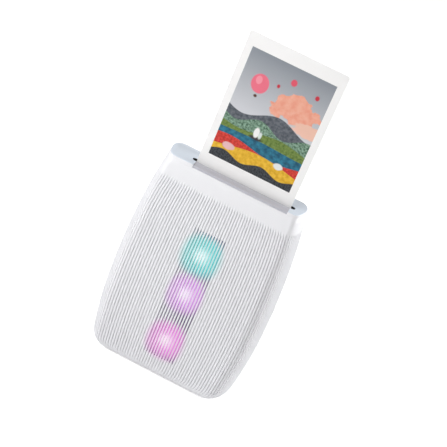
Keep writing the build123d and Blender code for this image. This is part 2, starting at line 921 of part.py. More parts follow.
def make_gears(places):
    """Roller gears, idler, two-step reduction gear and motor pinion with its shaft."""
    for roller in ("front_roller", "rear_roller"):
        centre, phase, teeth = places[roller]
        with BuildPart() as roller_gear:
            add(gear_solid(teeth, phase, centre, gear_inner_x, journal_diameter + journal_gap))
        roller_gear.part.label = roller + "_gear"
        export_step(roller_gear.part, "parts/" + roller + "_gear.step")
    centre, phase, teeth = places["idler"]
    with BuildPart() as idler_gear:
        add(gear_solid(teeth, phase, centre, gear_inner_x, post_diameter + 2 * post_gap))
    idler_gear.part.label = "idler_gear"
    export_step(idler_gear.part, "parts/idler_gear.step")
    centre, phase, teeth = places["reduction"]
    with BuildPart() as reduction_gear:
        add(gear_solid(teeth, phase, centre, gear_inner_x, post_diameter + 2 * post_gap, gear_inner_x - gear_outer_x))
        add(gear_solid(large_teeth, phase, centre, gear_outer_x, post_diameter + 2 * post_gap))
    reduction_gear.part.label = "reduction_gear"
    export_step(reduction_gear.part, "parts/reduction_gear.step")
    centre, phase, teeth = places["motor"]
    with BuildPart() as motor_pinion:
        add(gear_solid(teeth, phase, centre, gear_outer_x, 0))
        with BuildSketch(Plane.YZ.offset(gear_outer_x)):
            with Locations(centre):
                Circle(motor_shaft_diameter / 2)
        extrude(amount=-(gear_width + motor_front_gap + motor_length / 2))
    motor_pinion.part.label = "motor_pinion"
    export_step(motor_pinion.part, "parts/motor_pinion.step")


def make_motor(centre):
    """Flat can motor lying across the left side, its shaft towards the chassis."""
    with BuildPart() as drive_motor:
        with BuildSketch(Plane.YZ.offset(motor_front_x)):
            with Locations(centre):
                Circle(motor_diameter / 2)
        extrude(amount=-motor_length)
        with BuildSketch(Plane.YZ.offset(motor_front_x)):
            with Locations(centre):
                Circle(motor_boss_diameter / 2)
        extrude(amount=motor_boss_length)
        with BuildSketch(Plane.YZ.offset(motor_front_x + motor_boss_length)):
            with Locations(centre):
                Circle(motor_shaft_diameter / 2 + journal_gap)
        extrude(amount=-(motor_boss_length + motor_length / 2 + motor_front_gap), mode=Mode.SUBTRACT)
    drive_motor.part.label = "drive_motor"
    export_step(drive_motor.part, "parts/drive_motor.step")


def make_rollers():
    """The two steel rollers that spread the developer, with journals for bushes and gears."""
    gear_end = gear_inner_x - gear_width
    journal_right = cheek_right + cheek_wall
    for name, y in (("front_roller", front_roller_y), ("rear_roller", rear_roller_y)):
        with BuildPart() as roller:
            with BuildSketch(Plane.YZ.offset(roller_left)):
                with Locations((y, roller_height)):
                    Circle(roller_diameter / 2)
            extrude(amount=roller_length)
            with BuildSketch(Plane.YZ.offset(gear_end)):
                with Locations((y, roller_height)):
                    Circle(journal_diameter / 2)
            extrude(amount=journal_right - gear_end)
        roller.part.label = name
        export_step(roller.part, "parts/" + name + ".step")


def make_roller_bracket(places):
    """Bracket on top of the chassis: two cheeks that the journals turn in, a back bar and the idler post."""
    bore = journal_diameter / 2 + journal_gap
    height = bracket_top - chassis_top
    middle_z = (bracket_top + chassis_top) / 2
    with BuildPart() as roller_bracket:
        for left in (cheek_left, cheek_right):
            with Locations((left + cheek_wall / 2, (cheek_front + cheek_rear) / 2, middle_z)):
                Box(cheek_wall, cheek_rear - cheek_front, height)
        with Locations(((cheek_left + cheek_right + cheek_wall) / 2, cheek_rear - bracket_bar / 2, middle_z)):
            Box(cheek_right - cheek_left, bracket_bar, height)
        for y in (front_roller_y, rear_roller_y):
            with Locations((film_x, y, roller_height)):
                Cylinder(bore, 2 * body_width, rotation=(0, 90, 0), mode=Mode.SUBTRACT)
        with BuildSketch(Plane.YZ.offset(cheek_left)):
            with Locations(places["idler"][0]):
                Circle(post_diameter / 2)
        extrude(amount=gear_inner_x - gear_width - cheek_left)
        with BuildSketch(Plane.YZ.offset(cheek_left)):
            with Locations(places["idler"][0]):
                Circle(post_diameter)
        extrude(amount=gear_inner_x + gear_plane_gap - cheek_left)
    roller_bracket.part.label = "roller_bracket"
    export_step(roller_bracket.part, "parts/roller_bracket.step")


def make_exposure_head():
    """Light bar across the film just above the pack, with a lens strip facing the sheet."""
    head_rear = film_y - head_film_gap
    length = cheek_right - cheek_left - cheek_wall
    middle_x = (cheek_left + cheek_wall + cheek_right) / 2
    middle_z = chassis_top + fit_gap + head_height / 2
    with BuildPart() as exposure_head:
        with Locations((middle_x, (head_front + head_rear) / 2, middle_z)):
            Box(length, head_rear - head_front, head_height)
        with Locations((film_x, head_rear, middle_z)):
            Box(sheet_width, 2 * head_lens_depth, head_lens_width, mode=Mode.SUBTRACT)
    exposure_head.part.label = "exposure_head"
    export_step(exposure_head.part, "parts/exposure_head.step")
    with BuildPart() as head_lens:
        with Locations((film_x, head_rear - head_lens_depth / 2, middle_z)):
            Box(sheet_width, head_lens_depth, head_lens_width)
    head_lens.part.label = "head_lens"
    export_step(head_lens.part, "parts/head_lens.step")


def make_film_guide():
    """Guide between the rollers and the slot, with two felt strips that keep the light out."""
    bottom = bracket_top
    top = cover_top - guide_gap
    left = cheek_left
    right = cheek_right + cheek_wall
    middle_x = (left + right) / 2
    middle_z = (bottom + top) / 2
    with BuildPart() as film_guide:
        with Locations((middle_x, film_y, middle_z)):
            Box(right - left, 2 * (guide_half_depth + guide_wall), top - bottom)
            Box(right - left - 2 * guide_wall, 2 * guide_half_depth, top - bottom, mode=Mode.SUBTRACT)
    film_guide.part.label = "film_guide"
    export_step(film_guide.part, "parts/film_guide.step")
    thickness = guide_half_depth - sheet_thickness / 2 - seal_gap
    with BuildPart() as light_seals:
        for side in (-1, 1):
            y = film_y + side * (guide_half_depth - thickness / 2)
            with Locations((middle_x, y, (seal_low + seal_high) / 2)):
                Box(right - left - 2 * guide_wall, thickness, seal_high - seal_low)
    light_seals.part.label = "light_seals"
    export_step(light_seals.part, "parts/light_seals.step")


def make_chassis(places, switch_back):
    """Film chamber open to the back, with gear posts, motor cradle, ears and feet."""
    middle_x = (chassis_left + chassis_right) / 2
    middle_y = (chassis_front + chassis_rear) / 2
    middle_z = (chassis_bottom + chassis_top) / 2
    outer = (chassis_right - chassis_left, chassis_rear - chassis_front, chassis_top - chassis_bottom)
    inner_z = chassis_top - chassis_bottom - 2 * chassis_wall
    window_z = sheet_parked + pod_border + picture_height / 2
    motor_centre = places["motor"][0]
    with BuildPart() as chassis:
        with Locations((middle_x, middle_y, middle_z)):
            Box(*outer)
        with Locations((middle_x, middle_y + chassis_wall, middle_z)):
            Box(chamber_right - chamber_left, outer[1], inner_z, mode=Mode.SUBTRACT)
        # picture window in front of the pack
        with Locations((film_x, chassis_front, window_z)):
            Box(chassis_window_width, 3 * chassis_wall, chassis_window_height, mode=Mode.SUBTRACT)
        # slit that lets the sheet up to the rollers
        with Locations((film_x, film_y, chassis_top)):
            Box(sheet_width + 2 * sheet_slit_margin, sheet_slit, 3 * chassis_wall, mode=Mode.SUBTRACT)
        # screw ears
        for side in (-1, 1):
            edge = chassis_left if side < 0 else chassis_right
            for height in (screw_low, screw_high):
                with Locations(((edge + side * ear_reach) / 2, chassis_front + chassis_wall / 2, height)):
                    Box(abs(side * ear_reach - edge), chassis_wall, ear_height)
                with Locations((side * screw_x, chassis_front, height)):
                    Cylinder(
                        screw_diameter / 2 + screw_gap,
                        3 * chassis_wall,
                        rotation=(90, 0, 0),
                        mode=Mode.SUBTRACT,
                    )
        # feet down to the floor of the housing
        for side in (-1, 1):
            foot_z = (wall + chassis_bottom) / 2
            with Locations((film_x + side * chassis_foot_spread, middle_y, foot_z)):
                Box(chassis_foot_width, outer[1] / 2, chassis_bottom - wall)
        # post of the two-step gear
        with BuildSketch(Plane.YZ.offset(chassis_left)):
            with Locations(places["reduction"][0]):
                Circle(post_diameter / 2)
        extrude(amount=gear_outer_x - gear_width - chassis_left)
        # slot that the tab of the claw moves in
        slot_height = claw_tab_height + claw_travel + 2 * claw_gap
        slot_z = claw_bottom + claw_tab_height / 2 + claw_travel / 2
        with Locations((chassis_left, claw_y, slot_z)):
            Box(3 * chassis_wall, claw_tab_width + 2 * claw_gap, slot_height, mode=Mode.SUBTRACT)
        # cradle under the motor
        cradle_low = motor_centre[1] - motor_diameter / 2 - cradle_wall
        cradle_z = (cradle_low + motor_centre[1] - motor_diameter / 4) / 2
        cradle_left = motor_front_x - cradle_length
        with Locations(((cradle_left + chassis_left) / 2, motor_centre[0], cradle_z)):
            Box(
                chassis_left - cradle_left,
                motor_diameter / 2 + 2 * cradle_wall,
                motor_centre[1] - motor_diameter / 4 - cradle_low,
            )
        with BuildSketch(Plane.YZ.offset(chassis_left)):
            with Locations(motor_centre):
                Circle(motor_diameter / 2 + cradle_gap)
        extrude(amount=cradle_left - chassis_left, mode=Mode.SUBTRACT)
        # post behind the board of the power switch
        with Locations(((chassis_right + switch_back) / 2, button_y, button_height)):
            Box(switch_back - chassis_right, switch_width, switch_board_length / 2)
    chassis.part.label = "chassis"
    export_step(chassis.part, "parts/chassis.step")


def make_pick_claw():
    """Thin steel slider on the left of the chamber whose tab pushes the sheet up."""
    face = chassis_left - claw_gap
    with BuildPart() as pick_claw:
        with Locations((face - claw_thickness / 2, claw_y, claw_bottom + claw_height / 2)):
            Box(claw_thickness, claw_width, claw_height)
        with Locations(((face + chamber_left) / 2, claw_y, claw_bottom + claw_tab_height / 2)):
            Box(chamber_left - face, claw_tab_width, claw_tab_height)
    pick_claw.part.label = "pick_claw"
    export_step(pick_claw.part, "parts/pick_claw.step")
    guide_face = face - claw_thickness - claw_gap
    with BuildPart() as claw_guides:
        for height in (claw_bottom + claw_tab_height + claw_travel, claw_bottom + claw_height - claw_tab_height):
            with Locations(((guide_face - claw_thickness + chassis_left) / 2, claw_y, height)):
                Box(
                    chassis_left - guide_face + claw_thickness,
                    claw_width + 2 * claw_gap + 2 * claw_thickness,
                    claw_tab_width,
                )
                Box(
                    chassis_left - guide_face + claw_thickness,
                    claw_width + 2 * claw_gap,
                    claw_tab_width,
                    mode=Mode.SUBTRACT,
                )
            with Locations((guide_face - claw_thickness / 2, claw_y, height)):
                Box(claw_thickness, claw_width + 2 * claw_gap, claw_tab_width)
    claw_guides.part.label = "claw_guides"
    export_step(claw_guides.part, "parts/claw_guides.step")


def make_lighting():
    """Lamp board with three lamps, and the milky strip between them and the ribs."""
    board_half = rail_x + rail_wall
    board_z = (led_board_bottom + led_board_top) / 2
    board_height = led_board_top - led_board_bottom
    with BuildPart() as lamp_board:
        with Locations((0, led_board_y + led_board_thickness / 2, board_z)):
            Box(2 * board_half, led_board_thickness, board_height)
    lamp_board.part.label = "lamp_board"
    export_step(lamp_board.part, "parts/lamp_board.step")
    for name, height in zip(("upper", "middle", "lower"), lamp_heights):
        with BuildPart() as lamp:
            with Locations((0, led_board_y - lamp_thickness / 2, height)):
                Box(lamp_size, lamp_thickness, lamp_size)
            with Locations((0, lamp_face_y - lamp_lens_height / 2, height)):
                Cylinder(lamp_lens_diameter / 2, lamp_lens_height, rotation=(90, 0, 0))
        lamp.part.label = name + "_lamp"
        export_step(lamp.part, "parts/" + name + "_lamp.step")
    with BuildPart() as light_diffuser:
        with Locations((0, diffuser_y + diffuser_thickness / 2, board_z)):
            Box(2 * (rail_x - fit_gap), diffuser_thickness, board_height)
    light_diffuser.part.label = "light_diffuser"
    export_step(light_diffuser.part, "parts/light_diffuser.step")


def make_main_board():
    """Main circuit board with its chips and the charging socket at its left edge."""
    middle = ((board_left + board_right) / 2, (board_bottom + board_top) / 2)
    with BuildPart() as main_board:
        with BuildSketch(Plane.XZ.offset(-board_y)):
            with Locations(middle):
                RectangleRounded(board_right - board_left, board_top - board_bottom, board_corner)
        extrude(amount=-board_thickness)
    main_board.part.label = "main_board"
    export_step(main_board.part, "parts/main_board.step")
    rear_face = board_y + board_thickness
    with BuildPart() as board_chips:
        for (width, height, depth), (x, z) in zip(chip_sizes, chip_places):
            with Locations((x, rear_face + depth / 2, z)):
                Box(width, depth, height)
    board_chips.part.label = "board_chips"
    export_step(board_chips.part, "parts/board_chips.step")
    with BuildPart() as charge_socket:
        with BuildSketch(Plane.YZ.offset(socket_reach)):
            with Locations((rear_face + socket_depth / 2, socket_height)):
                SlotOverall(socket_width, socket_depth, rotation=90)
        extrude(amount=socket_length)
        with BuildSketch(Plane.YZ.offset(socket_reach)):
            with Locations((rear_face + socket_depth / 2, socket_height)):
                SlotOverall(socket_width - 2 * socket_wall, socket_depth - 2 * socket_wall, rotation=90)
        extrude(amount=socket_length - socket_floor, mode=Mode.SUBTRACT)
        tongue_length = socket_length - tongue_set_back
        with Locations((socket_reach + tongue_set_back + tongue_length / 2, rear_face + socket_depth / 2, socket_height)):
            Box(tongue_length, tongue_thickness, tongue_width)
    charge_socket.part.label = "charge_socket"
    export_step(charge_socket.part, "parts/charge_socket.step")


def make_battery():
    """Soft-cornered battery taped to the inside of the front wall."""
    front = -half_depth + wall + battery_tape
    with BuildPart() as battery:
        with BuildSketch(Plane.XZ.offset(-front)):
            with Locations((battery_left + battery_width / 2, battery_bottom + battery_height / 2)):
                RectangleRounded(battery_width, battery_height, battery_corner)
        extrude(amount=-battery_thickness)
    battery.part.label = "battery"
    export_step(battery.part, "parts/battery.step")


def make_screws():
    """Four slotted screws through the chassis ears into the front cover."""
    head_front = chassis_inner_front
    with BuildPart() as chassis_screws:
        for side in (-1, 1):
            for height in (screw_low, screw_high):
                with BuildSketch(Plane.XZ.offset(-head_front)):
                    with Locations((side * screw_x, height)):
                        Circle(screw_diameter / 2)
                extrude(amount=screw_length)
                with BuildSketch(Plane.XZ.offset(-head_front)):
                    with Locations((side * screw_x, height)):
                        Circle(screw_head_diameter / 2)
                extrude(amount=-screw_head_height)
                with BuildSketch(Plane.XZ.offset(-head_front - screw_head_height)):
                    with Locations((side * screw_x, height)):
                        Rectangle(screw_head_diameter, screw_slot)
                extrude(amount=screw_head_height / 2, mode=Mode.SUBTRACT)
    chassis_screws.part.label = "chassis_screws"
    export_step(chassis_screws.part, "parts/chassis_screws.step")


def main():
    os.makedirs("parts", exist_ok=True)
    cavity = make_cavity()
    make_front_cover(cavity)
    rear_shell = make_rear_shell(cavity)
    make_rear_cover(rear_shell)
    make_film_door(rear_shell)
    make_hinge_pin()
    make_door_lock()
    make_top_cap()
    make_slot_lip()
    make_power_button()
    switch_back = make_power_switch()
    make_print_sheet()
    make_film_pack()
    make_film_stack()
    places = gear_train()
    make_gears(places)
    make_motor(places["motor"][0])
    make_rollers()
    make_roller_bracket(places)
    make_exposure_head()
    make_film_guide()
    make_chassis(places, switch_back)
    make_pick_claw()
    make_lighting()
    make_main_board()
    make_battery()
    make_screws()


main()
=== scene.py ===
"""Looks, light and camera for a compact ribbed photo printer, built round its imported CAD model."""

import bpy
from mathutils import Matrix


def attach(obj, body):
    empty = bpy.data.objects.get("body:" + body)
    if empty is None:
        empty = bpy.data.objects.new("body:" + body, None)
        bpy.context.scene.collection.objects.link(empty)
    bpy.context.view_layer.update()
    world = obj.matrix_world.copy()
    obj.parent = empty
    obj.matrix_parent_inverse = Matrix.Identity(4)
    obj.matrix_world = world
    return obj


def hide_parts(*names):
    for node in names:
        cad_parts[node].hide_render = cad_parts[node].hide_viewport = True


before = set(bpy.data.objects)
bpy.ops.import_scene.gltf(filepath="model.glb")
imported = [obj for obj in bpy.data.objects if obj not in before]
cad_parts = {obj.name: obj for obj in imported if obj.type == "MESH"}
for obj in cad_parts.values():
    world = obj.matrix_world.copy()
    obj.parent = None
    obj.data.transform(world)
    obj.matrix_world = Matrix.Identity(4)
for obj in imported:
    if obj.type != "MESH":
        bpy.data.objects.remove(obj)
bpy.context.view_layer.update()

from math import asin, cos, dist, pi, radians, sin, sqrt

import bmesh
import bpy
from bpy.props import FloatProperty, FloatVectorProperty, IntProperty, PointerProperty
from bpy.types import Operator, Panel, PropertyGroup
from mathutils import Matrix, Vector

bl_info = {
    "name": "Compact Photo Printer Looks",
    "version": (1, 0, 0),
    "blender": (4, 5, 0),
    "location": "3D View > Sidebar > Photo Printer",
    "description": "Fine housing, finishes, studio and camera for a compact photo printer",
    "category": "Add Mesh",
}

MM = 0.001

# --- housing outline in millimetres, the same as in the CAD source ---
BODY_WIDTH = 90.3
BODY_DEPTH = 34.6
BODY_HEIGHT = 124.5
TOP_WIDTH = 77.0
BASE_WIDTH = 81.0
WIDEST_HEIGHT = 47.0
UPPER_TAPER_POWER = 2.3
LOWER_TAPER_POWER = 2.0
BASE_RADIUS = 8.5
LEAN_START = 84.0
FRONT_LEAN = 5.3
REAR_LEAN = 5.4
REAR_TOP_RADIUS = 8.0
CORNER_WIDTH = 8.65
CORNER_WIDTH_TOP = 4.5
WALL = 1.8
CAP_THICKNESS = 1.8
COVER_TOP = BODY_HEIGHT - CAP_THICKNESS
RIB_FOOT = 4.25
RIB_FADE_START = 111.0
RIB_TOP = 114.0
WINDOW_BOTTOM = 14.0
WINDOW_TOP = 95.0

# --- fine steps of the housing meshes ---
FOOT_STEPS = 8
BODY_STEP = 4.0
FADE_STEPS = 4
SHOULDER_STEPS = 9
CORNER_STEPS = 16
EDGE_SAMPLES = 64
EDGE_ROUND = 0.25
EDGE_STEPS = 4
LIP_STEPS = 6
CAP_STEPS = 6
CAP_TURN = radians(78)
SLOT_END_STEPS = 12
SHUT_LINE = 0.12
COLLAR_ROWS = (116.0, 119.5)
REAR_COLLAR_ROW = 113.8
SHARP_ANGLE = 40.0
RIB_SHARP_ANGLE = 55.0

# --- how far a block that cuts reaches past the place it cuts ---
PAST_SIDE = 50.0
PAST_BACK = BODY_DEPTH / 2 + 5
OVERSHOOT = 1.0

# --- film, slot and lip ---
FILM_X = 3.8
FILM_Y = -5.7
PICTURE_BOTTOM = 131.2
PICTURE_HEIGHT = 62.0
SLOT_WIDTH = 58.7
SLOT_DEPTH = 3.0
LIP_WIDTH = 53.8
LIP_ENDS = (FILM_X - LIP_WIDTH / 2, FILM_X + LIP_WIDTH / 2)
LIP_FRONT = 0.02
LIP_DROP = 0.1
LIP_FALL = 0.35
LIP_ROUND = 0.5
# how far a face's middle may lie from the slot and must lie below the top to be a side of the slot
FACE_MARGIN = 0.05
TOP_MARGIN = 0.02

# --- door and hinge in the back ---
DOOR_HALF_WIDTH = 36.0
DOOR_TOP = 101.0
DOOR_GAP = 0.2
DOOR_FRONT = 11.9
HINGE_HEIGHT = 8.5
HINGE_RADIUS = 2.5
HINGE_Y = BODY_DEPTH / 2 - HINGE_RADIUS
HINGE_HALF_LENGTH = 30.0
HINGE_SHOULDER = 4.0
HINGE_JAMB = 3.0
PIN_DIAMETER = 2.0
PIN_HELD_GAP = 0.02
PIN_TURN_GAP = 0.05
JAMB_GAP = 0.2
TROUGH_RISE = 0.1
POST_FRONT = 6.0
POST_SPREAD = 15.0
POST_Z = 50.0
POST_WIDTH = 10.0
POST_LENGTH = 14.0
POST_WALL = 1.2
POST_ROUND = 0.6
POST_STEPS = 3
POST_FLOOR = 0.4
ROOT_DEPTH = 0.3
DOOR_RIB_PLACES = (28.0, 72.0)
DOOR_RIB_SIZE = (1.6, 1.2)
LOCK_Z = 96.1
LOCK_KNOB = (12.0, 4.0)
LOCK_MARGIN = 0.3
LOCK_TRAVEL = 2.0
LOCK_SLOT_FRONT = 12.0

# --- fittings inside the front cover ---
RAIL_X = 11.0
RAIL_WALL = 0.8
RAIL_BACK = -11.2
RAIL_ENDS = (12.0, 97.0)
SCREW_PLACES = ((-38.4, 16.0), (38.4, 16.0), (-38.4, 88.0), (38.4, 88.0))
BOSS_DIAMETER = 4.0
SCREW_HOLE = 2.1
SCREW_FLOOR = 1.0
BOSS_BACK = -8.5
BOSS_LENGTH = 6.0
BOARD_POSTS = ((-32.0, 24.0), (-16.6, 68.0))
BOARD_Y = -12.4
SOCKET_Y = -9.57
SOCKET_Z = 30.0
SOCKET_SIZE = (9.74, 4.06)
SOCKET_HOLE_END = -36.0
BUTTON_Y = 3.2
BUTTON_Z = 58.0
BUTTON_SIZE = (9.0, 4.0)
BUTTON_HOLE_START = 30.0

# --- lamps behind the ribs, whose glow is painted on the cover and diffuser: middle height, half width and half height of each glow in millimetres ---
GLOWS = ((81.0, 10.6, 11.4), (56.0, 9.6, 11.0), (25.0, 10.2, 11.2))
GLOW_SQUARENESS = 2.5
# shares of a glow's reach between which it goes from the paler middle to its full colour
GLOW_CORE = 0.05
GLOW_BODY = 0.62

# --- how strongly ABS bends light ---
ABS_IOR = 1.54

# --- studio: name, place and width in metres of each soft light, and the setting of its power ---
LIGHTS = (
    ("key_left", (-0.45, -0.45, 0.47), 0.4, "key_power"),
    ("fill_right", (0.9, 0.45, 0.25), 0.6, "fill_power"),
    ("overhead", (0.0, 0.1, 1.3), 0.9, "top_power"),
)
LIT_PLACE = Vector((0, 0, 0.08))
FLOOR_REACH = 6.0
PAPER_LIFT = 0.6

# --- camera of the photograph: pixels, metres and degrees from a fit to the outline ---
PHOTO_WIDTH = 447
FOCAL_PIXELS = 1311.87
TARGET_PIXEL = (198.27, 273.68)
TARGET = Vector((0, 0, 0.062))
CAMERA_DISTANCE = 0.70447
CAMERA_TURN = radians(7.12)
CAMERA_RISE = radians(29.39)
CAMERA_ROLL = radians(23.46)
SENSOR_WIDTH = 36.0


def linear(code):
    """Turns an sRGB hex colour into the linear values that Blender's sockets take."""
    parts = [int(code[place : place + 2], 16) / 255 for place in (1, 3, 5)]
    return tuple(p / 12.92 if p <= 0.04045 else ((p + 0.055) / 1.055) ** 2.4 for p in parts) + (1.0,)


def colour_setting(name, description, code):
    """A colour that a user may change, starting from a hex value."""
    return FloatVectorProperty(
        name=name, description=description, subtype="COLOR", size=4, min=0, max=1, default=linear(code)
    )


def length_setting(name, description, millimetres):
    """A length that a user may change, starting from a size in millimetres."""
    return FloatProperty(name=name, description=description, unit="LENGTH", min=0, default=millimetres * MM)


def power_setting(name, description, watts):
    """The power of a light that a user may change."""
    return FloatProperty(name=name, description=description, unit="POWER", min=0, default=watts)


class HousingSettings(PropertyGroup):
    rib_count: IntProperty(
        name="Ribs", description="Upright ribs round the front cover", default=71, min=31, max=121
    )
    rib_depth: length_setting("Rib depth", "Depth of the grooves between the ribs", 0.85)
    window_slots: IntProperty(
        name="Window slots", description="Slots that let the lamps shine out", default=12, min=2, max=20
    )
    housing: colour_setting("Housing", "White of the moulded covers", "#F0F0F3")
    cap: colour_setting("Cap", "Pale blue-grey of the lid", "#DCE5F0")
    lip: colour_setting("Lip", "Grey of the lip in front of the slot", "#BEBEC6")
    # the button's own grey, darkened as painted shade for the shadow in the gap round it
    button: colour_setting("Button", "Grey of the power button", "#6C6E76")
    upper_glow: colour_setting("Upper glow", "Light of the upper lamp", "#4CCCCC")
    middle_glow: colour_setting("Middle glow", "Light of the middle lamp", "#D094DC")
    lower_glow: colour_setting("Lower glow", "Light of the lower lamp", "#DC7CD4")


class StudioSettings(PropertyGroup):
    key_power: power_setting("Key light", "Power of the soft light on the left", 3.7)
    fill_power: power_setting("Fill light", "Power of the soft light on the right", 8.5)
    top_power: power_setting("Top light", "Power of the soft light overhead", 1.8)
    room_light: FloatProperty(
        name="Room light", description="Strength of the even light from all round", default=0.3, min=0, max=2
    )
    floor: colour_setting("Floor", "Pale paper that the printer stands on", "#F4F4F4")


# --- outline ---


def lean(height, reach):
    """How far a face that leans in towards the top has come by a height."""
    return reach * (max(height - LEAN_START, 0) / (BODY_HEIGHT - LEAN_START)) ** 2


def foot_pull(height, inset):
    """How far the rounded foot draws an outline in at a height."""
    radius = BASE_RADIUS - inset
    below = min(max(BASE_RADIUS - height, 0), radius)
    return radius - sqrt(radius**2 - below**2)


def side_x(height, inset=0.0):
    """Half width of the barrel at a height."""
    if height > WIDEST_HEIGHT:
        share = (height - WIDEST_HEIGHT) / (BODY_HEIGHT - WIDEST_HEIGHT)
        taper = (BODY_WIDTH - TOP_WIDTH) / 2 * share**UPPER_TAPER_POWER
    else:
        share = (WIDEST_HEIGHT - height) / WIDEST_HEIGHT
        taper = (BODY_WIDTH - BASE_WIDTH) / 2 * share**LOWER_TAPER_POWER
    return BODY_WIDTH / 2 - taper - inset - foot_pull(height, inset)


def front_y(height, inset=0.0):
    """Depth of the front face at a height."""
    return -BODY_DEPTH / 2 + lean(height, FRONT_LEAN) + inset + foot_pull(height, inset)


def rear_y(height, inset=0.0):
    """Depth of the back face at a height, with its rounded top edge."""
    radius = REAR_TOP_RADIUS - inset
    above = min(max(height - BODY_HEIGHT + REAR_TOP_RADIUS, 0), radius)
    pull = radius - sqrt(radius**2 - above**2)
    return BODY_DEPTH / 2 - lean(height, REAR_LEAN) - inset - foot_pull(height, inset) - pull


def corner_x(height, inset=0.0):
    """Width of the rounded corner of a section at a height."""
    share = max(height - LEAN_START, 0) / (BODY_HEIGHT - LEAN_START)
    return CORNER_WIDTH + (CORNER_WIDTH_TOP - CORNER_WIDTH) * share - inset


def quarter_turn(steps):
    """Angles of the steps of a quarter turn."""
    return [pi / 2 * step / steps for step in range(steps + 1)]


def half_outline(face_y, height, inset, steps=CORNER_STEPS):
    """One half of a section, from the left side round the front or the back to the right side."""
    reach = face_y(height, inset)
    side = side_x(height, inset)
    corner = corner_x(height, inset)
    left = [(corner * (1 - cos(turn)) - side, reach * sin(turn)) for turn in quarter_turn(steps)]
    return left + [(-x, y) for x, y in reversed(left)]


def ring_at(work, height, inset):
    """Ring of corners right round the housing at a height."""
    front = half_outline(front_y, height, inset)
    rear = half_outline(rear_y, height, inset)
    return [work.verts.new((x, y, height)) for x, y in front + rear[-2:0:-1]]


def spread_along(points, shares):
    """Points and directions at shares of the length of a line."""
    ends = [0.0]
    for one, after in zip(points, points[1:]):
        ends.append(ends[-1] + dist(one, after))
    spot = 0
    found = []
    for share in shares:
        goal = share * ends[-1]
        while spot < len(points) - 2 and ends[spot + 1] < goal:
            spot += 1
        (ax, ay), (bx, by) = points[spot], points[spot + 1]
        run = ends[spot + 1] - ends[spot]
        part = (goal - ends[spot]) / run
        found.append((ax + (bx - ax) * part, ay + (by - ay) * part, (bx - ax) / run, (by - ay) / run))
    return found


def rib_strength(height):
    """Share of the full rib depth at a height: it runs out softly at the foot and the top."""
    if height >= RIB_FADE_START:
        share = (RIB_TOP - height) / (RIB_TOP - RIB_FADE_START)
    else:
        share = (height - RIB_FOOT) / (BASE_RADIUS - RIB_FOOT)
    share = min(max(share, 0), 1)
    return share * share * (3 - 2 * share)


def foot_heights(inset):
    """Heights of the rows that turn the rounded foot."""
    return [inset + (BASE_RADIUS - inset) * (1 - cos(turn)) for turn in quarter_turn(FOOT_STEPS)]


def foot_levels():
    """Outer and inner heights of the rows that turn the rounded foot."""
    return list(zip(foot_heights(0.0), foot_heights(WALL)))


def body_levels(extra=()):
    """Heights of the rows between the foot and the fading ribs."""
    count = round((RIB_FADE_START - BASE_RADIUS) / BODY_STEP)
    rise = (RIB_FADE_START - BASE_RADIUS) / count
    heights = {round(BASE_RADIUS + rise * step, 3) for step in range(1, count)} | set(extra)
    return [(height, height) for height in sorted(heights)]


# --- meshes ---


def finish_mesh(work, name, sharp_angle=SHARP_ANGLE):
    """Turns a bmesh in millimetres into a smooth object in metres."""
    bmesh.ops.recalc_face_normals(work, faces=work.faces)
    mesh = bpy.data.meshes.new(name)
    work.to_mesh(mesh)
    work.free()
    mesh.transform(Matrix.Scale(MM, 4))
    piece = bpy.data.objects.new(name, mesh)
    bpy.context.scene.collection.objects.link(piece)
    shade(piece, sharp_angle)
    return piece


def shade(piece, sharp_angle=SHARP_ANGLE):
    """Smooth faces that stay crisp where they meet at more than an angle."""
    piece.data.shade_smooth()
    piece.data.set_sharp_from_angle(angle=radians(sharp_angle))


def half_shell(name, outer, inner, is_open, sharp_angle):
    """Closed half of the housing from its outer and inner rows, with walls round each opening."""
    work = bmesh.new()
    grids = [[[work.verts.new(point) for point in row] for row in rows] for rows in (outer, inner)]
    out, back = grids
    rows = len(out) - 1
    columns = len(out[0]) - 1
    for row in range(rows):
        for column in range(columns):
            if is_open(row, column):
                continue
            for grid in grids:
                lower, upper = grid[row], grid[row + 1]
                work.faces.new((lower[column], lower[column + 1], upper[column + 1], upper[column]))
            edges = (
                (row, column - 1, row, column, row + 1, column),
                (row, column + 1, row, column + 1, row + 1, column + 1),
                (row - 1, column, row, column, row, column + 1),
                (row + 1, column, row + 1, column, row + 1, column + 1),
            )
            for beside_row, beside_column, r1, c1, r2, c2 in edges:
                if is_open(beside_row, beside_column):
                    work.faces.new((out[r1][c1], out[r2][c2], back[r2][c2], back[r1][c1]))
    for grid in grids:
        work.faces.new(grid[0])
    work.faces.new((out[0][0], out[0][-1], back[0][-1], back[0][0]))
    for row in range(rows):
        for end in (0, -1):
            work.faces.new((out[row][end], out[row + 1][end], back[row + 1][end], back[row][end]))
    for column in range(columns):
        work.faces.new((out[-1][column], out[-1][column + 1], back[-1][column + 1], back[-1][column]))
    return finish_mesh(work, name, sharp_angle)


def prism(name, outline, axis, low, high):
    """Solid with an outline in the plane across an axis, from a low to a high place along it."""
    work = bmesh.new()
    ends = []
    for place in (low, high):
        points = []
        for a, b in outline:
            points.append({"X": (place, a, b), "Y": (a, place, b), "Z": (a, b, place)}[axis])
        ends.append([work.verts.new(point) for point in points])
    join_rings(work, ends)
    return finish_mesh(work, name)


def join_rings(work, rings):
    """Closes a stack of rings into one solid skin."""
    work.faces.new(rings[0])
    work.faces.new(rings[-1])
    for lower, upper in zip(rings, rings[1:]):
        for step in range(len(lower)):
            after = (step + 1) % len(lower)
            work.faces.new((lower[step], lower[after], upper[after], upper[step]))


def circle_points(centre, radius, steps=48):
    """Points round a circle."""
    turns = [2 * pi * step / steps for step in range(steps)]
    return [(centre[0] + radius * cos(turn), centre[1] + radius * sin(turn)) for turn in turns]


